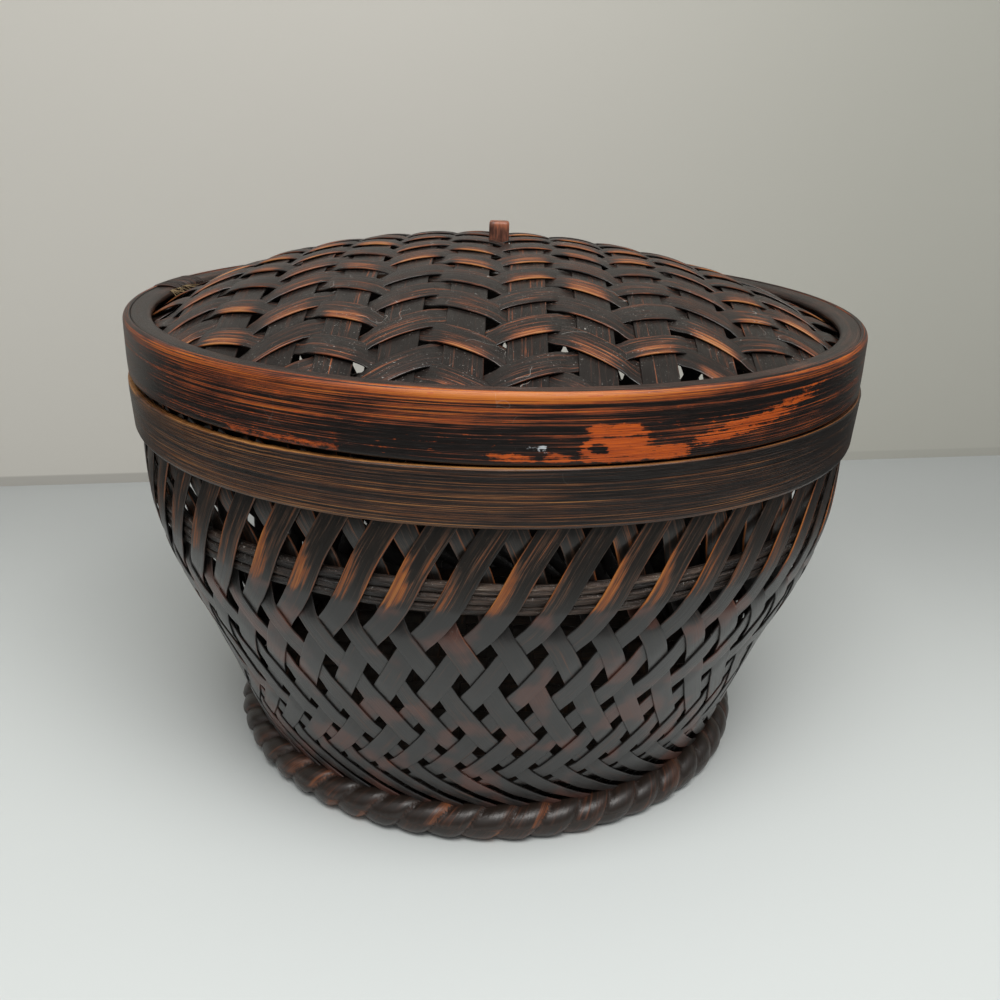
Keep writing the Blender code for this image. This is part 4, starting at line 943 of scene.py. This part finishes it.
def dome_set(turn, pitch, crossing_y, breadth, side, stations=96):
    """The strips of one set: straight in plan, bent over the dome, and waved by the column.

    The wave is the cosine of x over the columns' pitch, made steeper, which is 1 where this set lies
    over the straight strip of that column and -1 where it lies under. side is 0 for the straight set.
    """
    most = int(DOME_EDGE / pitch) + 1
    first = STRAIGHT_X * math.cos(turn) + crossing_y * math.sin(turn)
    offsets = first + np.arange(-most, most + 1) * pitch
    offsets = offsets[np.abs(offsets) < 0.992 * DOME_EDGE - 0.5 * breadth]
    count = len(offsets)
    bow = offsets[:, None]
    reach = np.sqrt(0.1066**2 - (np.abs(bow) + 0.3 * breadth) ** 2)
    along = np.linspace(-1.0, 1.0, stations)[None, :] * reach
    stray = 0.0004 * chance.normal(0.0, 1.0, (count, 1)) + 0.0003 * np.sin(
        along / 0.031 + chance.uniform(0.0, 6.0, (count, 1))
    )
    off = bow + stray
    right = (math.cos(turn), math.sin(turn))
    ahead = (-math.sin(turn), math.cos(turn))
    x = off * right[0] + along * ahead[0]
    y = off * right[1] + along * ahead[1]
    centre = np.stack([x, y, dome_height(x, y)], axis=-1)
    radial = np.minimum(np.hypot(x, y), DOME_EDGE) / np.maximum(np.hypot(x, y), 1e-6)
    normal = unit(np.stack([x * radial, y * radial, DOME_SPHERE - 0.021 + 0.0 * x], axis=-1))
    path = unit(np.gradient(centre, axis=1))
    across = unit(np.cross(path, normal))
    normal = unit(np.cross(across, path))
    width = breadth * (1.0 + 0.03 * chance.normal(0.0, 1.0, (count, 1))) + 0.0 * along
    section_side = SECTION_ACROSS * 0.5 * width[..., None]
    spot = centre[..., None, :] + across[..., None, :] * section_side[..., None]
    swing = np.cos(math.pi * (spot[..., 0] - STRAIGHT_X) / COLUMN_PITCH)
    swing = np.sign(swing) * np.abs(swing) ** 0.6
    edge_far = np.hypot(spot[..., 0], spot[..., 1])
    calm = smooth_step(DOME_EDGE + 0.0006, DOME_EDGE - 0.0095, edge_far)
    height = side * swing * (0.00060 + (ARC_HEIGHT - 0.00060) * calm)
    points = ribbon_points(centre, across, normal, width, STRIP_THICKNESS, height, 0.00014)

    own = chance.random((count, 1, 1))
    place = np.stack(
        np.broadcast_arrays(along[..., None] + 3.0 * own, section_side, own + 0.0 * section_side), axis=-1
    )
    column = np.floor((spot[..., 0] - STRAIGHT_X) / COLUMN_PITCH + 0.5)
    luck = (np.sin(column * 12.9898 + np.arange(count)[:, None, None] * 78.233 + side * 3.3) * 43758.5453) % 1.0
    front = smooth_step(0.105, -0.06, spot[..., 1])
    wear_and_shade = 0.03 + 0.08 * own + 0.0 * section_side
    if side:
        crest = smooth_step(0.35, 0.98, side * swing)
        nearer = (centre[..., None, 1] - spot[..., 1]) / (0.5 * breadth)
        rubbed = 0.15 + 0.95 * smooth_step(-0.6, 0.8, nearer)
        wear_and_shade = wear_and_shade + crest * rubbed * (0.14 + 0.66 * smooth_step(0.25, 0.85, luck)) * (0.50 + 0.50 * front)
        wear_and_shade = wear_and_shade + 0.26 * crest * smooth_step(0.84, 0.94, np.abs(SECTION_ACROSS))
    else:
        wear_and_shade = wear_and_shade - 0.10 + 0.16 * smooth_step(0.5, 1.0, luck) * front
    # Painted shade on the inner faces: their mark is -1
    return points, place, np.where(SECTION_UP < 0, -1.0, wear_and_shade)


dome_finish = bamboo_finish(
    "dome_lacquer",
    {
        "Lacquer": (0.0095, 0.0070, 0.0060),
        "Thin Lacquer": (0.045, 0.018, 0.011),
        "Under Coat": (0.20, 0.055, 0.018),
        "Bare": (0.38, 0.15, 0.045),
        "Patchiness": 0.35,
        "Patch Size": 90.0,
        "Streakiness": 3.2,
    },
    dusty=0.55,
    bump=0.00012,
    grain={"Length": 26.0, "Fineness": 1300.0},
)
slanting_pitch = ROW_PITCH * math.sin(WEAVE_TURN)
weave_sets = (
    ("dome_strips_rising", "lid_strips_rising", -WEAVE_TURN, slanting_pitch, RISING_Y, SLANTING_WIDTH, 1),
    ("dome_strips_straight", "lid_strips_straight", 0.0, COLUMN_PITCH, 0.0, STRAIGHT_WIDTH, 0),
    ("dome_strips_falling", "lid_strips_falling", WEAVE_TURN, slanting_pitch, FALLING_Y, SLANTING_WIDTH, -1),
)
for name, node, turn, pitch, crossing_y, breadth, side in weave_sets:
    points, place, wear_and_shade = dome_set(turn, pitch, crossing_y, breadth, side)
    finish(surface(name, points, place, wear_and_shade), dome_finish, "lid_bamboo", "lid", node)

# Knob
# A small square peg of red-brown wood, pushed down through the middle of the weave and held
# under it by a washer and a pin.
low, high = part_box("lid_knob")
knob_half = 0.5 * (high.x - low.x)
knob_rows = [(0.30, low.z), (0.42, low.z + 0.0002), (0.42, 0.1576), (0.96, 0.1577), (1.0, 0.1582)]
knob_rows += [(1.0, z) for z in np.linspace(0.1590, high.z - 0.0011, 6)]
knob_rows += [(1.0 - 0.16 * (1.0 - math.cos(a)), high.z - 0.0011 + 0.0011 * math.sin(a)) for a in (0.35, 0.7, 1.05, 1.3)]
knob_rows += [(0.60, high.z - 0.00003), (0.30, high.z)]


def squared(half, rows):
    """A square body with rounded corners, |x|^7 + |y|^7 = 1, scaled at each row by its share of half."""
    rows = np.array(rows)
    loop = np.arange(48)[None, :] / 48 * math.tau
    square = (np.abs(np.cos(loop)) ** 7 + np.abs(np.sin(loop)) ** 7) ** (-1.0 / 7.0)
    radius = half * rows[:, :1] * square
    z = rows[:, 1:] + 0.0 * loop
    points = np.stack([radius * np.cos(loop), radius * np.sin(loop), z], axis=-1)
    return points, np.stack(np.broadcast_arrays(z, loop * 0.003, 0.4), axis=-1), z


knob_points, knob_place, z = squared(knob_half, knob_rows)
knob_worn = 0.45 + 0.35 * smooth_step(high.z - 0.0018, high.z - 0.0006, z)
knob_finish = bamboo_finish(
    "red_peg",
    {"Lacquer": (0.060, 0.025, 0.017), "Thin Lacquer": (0.15, 0.058, 0.036), "Under Coat": (0.30, 0.095, 0.045), "Bare": (0.42, 0.18, 0.09)},
    dusty=0.3,
    bump=0.0001,
    grain={"Length": 90.0, "Fineness": 900.0},
)
knob = surface("lid_peg", knob_points[None], knob_place[None], knob_worn[None])
finish(knob, knob_finish, "red_wood", "lid", "lid_knob")

low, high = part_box("knob_washer")
washer_half = 0.5 * (high.x - low.x)
hole = 0.45 * knob_half / washer_half
washer_rows = [(hole, low.z), (0.60, low.z), (0.97, low.z), (1.0, low.z + 0.0003), (1.0, high.z - 0.0003)]
washer_rows += [(0.97, high.z), (0.60, high.z), (hole, high.z)]
washer_points, washer_place, _ = squared(washer_half, washer_rows)
washer = surface("peg_washer", washer_points[None], washer_place[None], 0.3, round_rows=True, caps=False)
finish(washer, brown_finish, "brown_bamboo", "lid", "knob_washer")

low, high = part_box("knob_pin")
pin_rows = [(0.50, low.x), (0.85, low.x + 0.0003), (1.0, low.x + 0.0010), (1.0, high.x - 0.0010)]
pin_rows += [(0.85, high.x - 0.0003), (0.50, high.x)]
pin_points, pin_place, _ = squared(0.5 * (high.z - low.z), pin_rows)
pin_points = pin_points[..., [2, 0, 1]] + np.array((0.0, 0.0, 0.5 * (low.z + high.z)))
pin = surface("peg_pin", pin_points[None], pin_place[None], 0.3)
finish(pin, brown_finish, "red_wood", "lid", "knob_pin")

# Floor, light and camera
# The basket stands on a pale table in front of a pale wall. A soft lamp hangs over the front of
# the table, and past the table's front edge the room is dim, so the upright faces look darker.
FLOOR_REACH = 3.0
WALL_Y = 0.240
WALL_SLANT = 0.186
WALL_TOP = 1.6


def matt_sheet(name, corners, roughness, near_colour, far_colour, along, start, stop):
    """A flat sheet of the surroundings whose colour shades along one of its Object coordinates."""
    mesh = bpy.data.meshes.new(name)
    mesh.from_pydata(corners, [], [(0, 1, 2, 3)])
    made = bpy.data.objects.new(name, mesh)
    bpy.context.collection.objects.link(made)
    material = bpy.data.materials.new(name)
    material.use_nodes = True
    mesh.materials.append(material)
    tree = material.node_tree
    shader = tree.nodes["Principled BSDF"]
    place = add_node(tree, "ShaderNodeTexCoord").outputs["Object"]
    value = add_node(tree, "ShaderNodeSeparateXYZ", {0: place}).outputs[along]
    colour = mix_colour(tree, rise(tree, value, start, stop), near_colour, far_colour)
    tree.links.new(colour, shader.inputs["Base Color"])
    shader.inputs["Roughness"].default_value = roughness
    return made, tree, shader, value


floor_corners = [
    (-FLOOR_REACH, -FLOOR_REACH, 0.0),
    (FLOOR_REACH, -FLOOR_REACH, 0.0),
    (FLOOR_REACH, FLOOR_REACH, 0.0),
    (-FLOOR_REACH, FLOOR_REACH, 0.0),
]
wall_corners = [
    (-FLOOR_REACH, WALL_Y - WALL_SLANT * FLOOR_REACH, 0.0),
    (FLOOR_REACH, WALL_Y + WALL_SLANT * FLOOR_REACH, 0.0),
    (FLOOR_REACH, WALL_Y + WALL_SLANT * FLOOR_REACH, WALL_TOP),
    (-FLOOR_REACH, WALL_Y - WALL_SLANT * FLOOR_REACH, WALL_TOP),
]
# Painted shade: the table darkens from in front of the basket towards the wall behind it
floor, tree, shader, value = matt_sheet(
    "table", floor_corners, 0.55, (0.64, 0.675, 0.67), (0.43, 0.45, 0.445), 1, -0.10, 0.20
)
# In reflections only the middle of the table is pale
place = add_node(tree, "ShaderNodeTexCoord").outputs["Object"]
away = add_node(tree, "ShaderNodeVectorMath", {0: place}, operation="LENGTH").outputs["Value"]
dark = add_node(tree, "ShaderNodeBsdfDiffuse", {"Color": (0.07, 0.07, 0.07, 1.0)})
beyond = rise(tree, away, 0.17, 0.32)
mirrored = add_node(tree, "ShaderNodeLightPath").outputs["Is Glossy Ray"]
switch = arithmetic(tree, "MULTIPLY", beyond, mirrored)
both = add_node(tree, "ShaderNodeMixShader", {0: switch, 1: shader.outputs[0], 2: dark.outputs[0]})
tree.links.new(both.outputs[0], tree.nodes["Material Output"].inputs["Surface"])

# Painted shade: the wall darkens from left to right
wall, tree, shader, value = matt_sheet(
    "back_wall", wall_corners, 0.8, (0.605, 0.587, 0.540), (0.485, 0.480, 0.430), 0, -0.10, 0.26
)
# A soft shadow line where the wall meets the table, deeper at the left
place = add_node(tree, "ShaderNodeTexCoord").outputs["Object"]
height = add_node(tree, "ShaderNodeSeparateXYZ", {0: place}).outputs[2]
deeper = arithmetic(tree, "ADD", 0.10, arithmetic(tree, "MULTIPLY", rise(tree, value, 0.15, -0.10), 0.18))
line = arithmetic(tree, "MULTIPLY", rise(tree, height, 0.0062, 0.0048), deeper)
plain = shader.inputs["Base Color"].links[0].from_socket
tree.links.new(mix_colour(tree, line, plain, (0.0, 0.0, 0.0)), shader.inputs["Base Color"])
# In reflections the wall is dimmer
dark = add_node(tree, "ShaderNodeBsdfDiffuse", {"Color": (0.07, 0.07, 0.07, 1.0)})
mirrored = add_node(tree, "ShaderNodeLightPath").outputs["Is Glossy Ray"]
dimmed = arithmetic(tree, "MULTIPLY", mirrored, 0.45)
front = add_node(tree, "ShaderNodeMixShader", {0: dimmed, 1: shader.outputs[0], 2: dark.outputs[0]})
back = add_node(tree, "ShaderNodeNewGeometry").outputs["Backfacing"]
clear = add_node(tree, "ShaderNodeBsdfTransparent")
both = add_node(tree, "ShaderNodeMixShader", {0: back, 1: front.outputs[0], 2: clear.outputs[0]})
tree.links.new(both.outputs[0], tree.nodes["Material Output"].inputs["Surface"])

world = bpy.data.worlds.new("room")
bpy.context.scene.world = world
world.use_nodes = True
sky = world.node_tree
way = add_node(sky, "ShaderNodeTexCoord").outputs["Generated"]
height = add_node(sky, "ShaderNodeSeparateXYZ", {0: way}).outputs[2]
overhead = rise(sky, height, 0.05, 0.85)
lit = mix_colour(sky, overhead, (0.10, 0.10, 0.10), (0.80, 0.80, 0.80))
seen = add_node(sky, "ShaderNodeLightPath").outputs["Is Camera Ray"]
background = sky.nodes["Background"]
sky.links.new(mix_colour(sky, seen, lit, (0.52, 0.51, 0.48)), background.inputs["Color"])
background.inputs["Strength"].default_value = 1.0

lamp = bpy.data.lights.new("soft_lamp", "AREA")
lamp.shape = "RECTANGLE"
lamp.size = 0.45
lamp.size_y = 0.35
lamp.energy = 4.1
lamp.color = (1.0, 0.985, 0.96)
lamp_object = bpy.data.objects.new("soft_lamp", lamp)
lamp_object.location = (0.06, -0.34, 0.66)
aim = Vector((0.0, -0.02, 0.05)) - lamp_object.location
lamp_object.rotation_euler = aim.to_track_quat("-Z", "Y").to_euler()
bpy.context.collection.objects.link(lamp_object)

camera = bpy.data.cameras.new("camera")
camera.sensor_width = 36.0
camera.lens = 36.88
camera_object = bpy.data.objects.new("camera", camera)
tilt = Matrix.Rotation(math.radians(90.0 - 20.99), 4, "X") @ Matrix.Rotation(math.radians(1.74), 4, "Z")
camera_object.matrix_world = Matrix.Translation((0.0028, -0.3267, 0.1993)) @ tilt
bpy.context.collection.objects.link(camera_object)
bpy.context.scene.camera = camera_object
bpy.context.scene.view_settings.view_transform = "Standard"
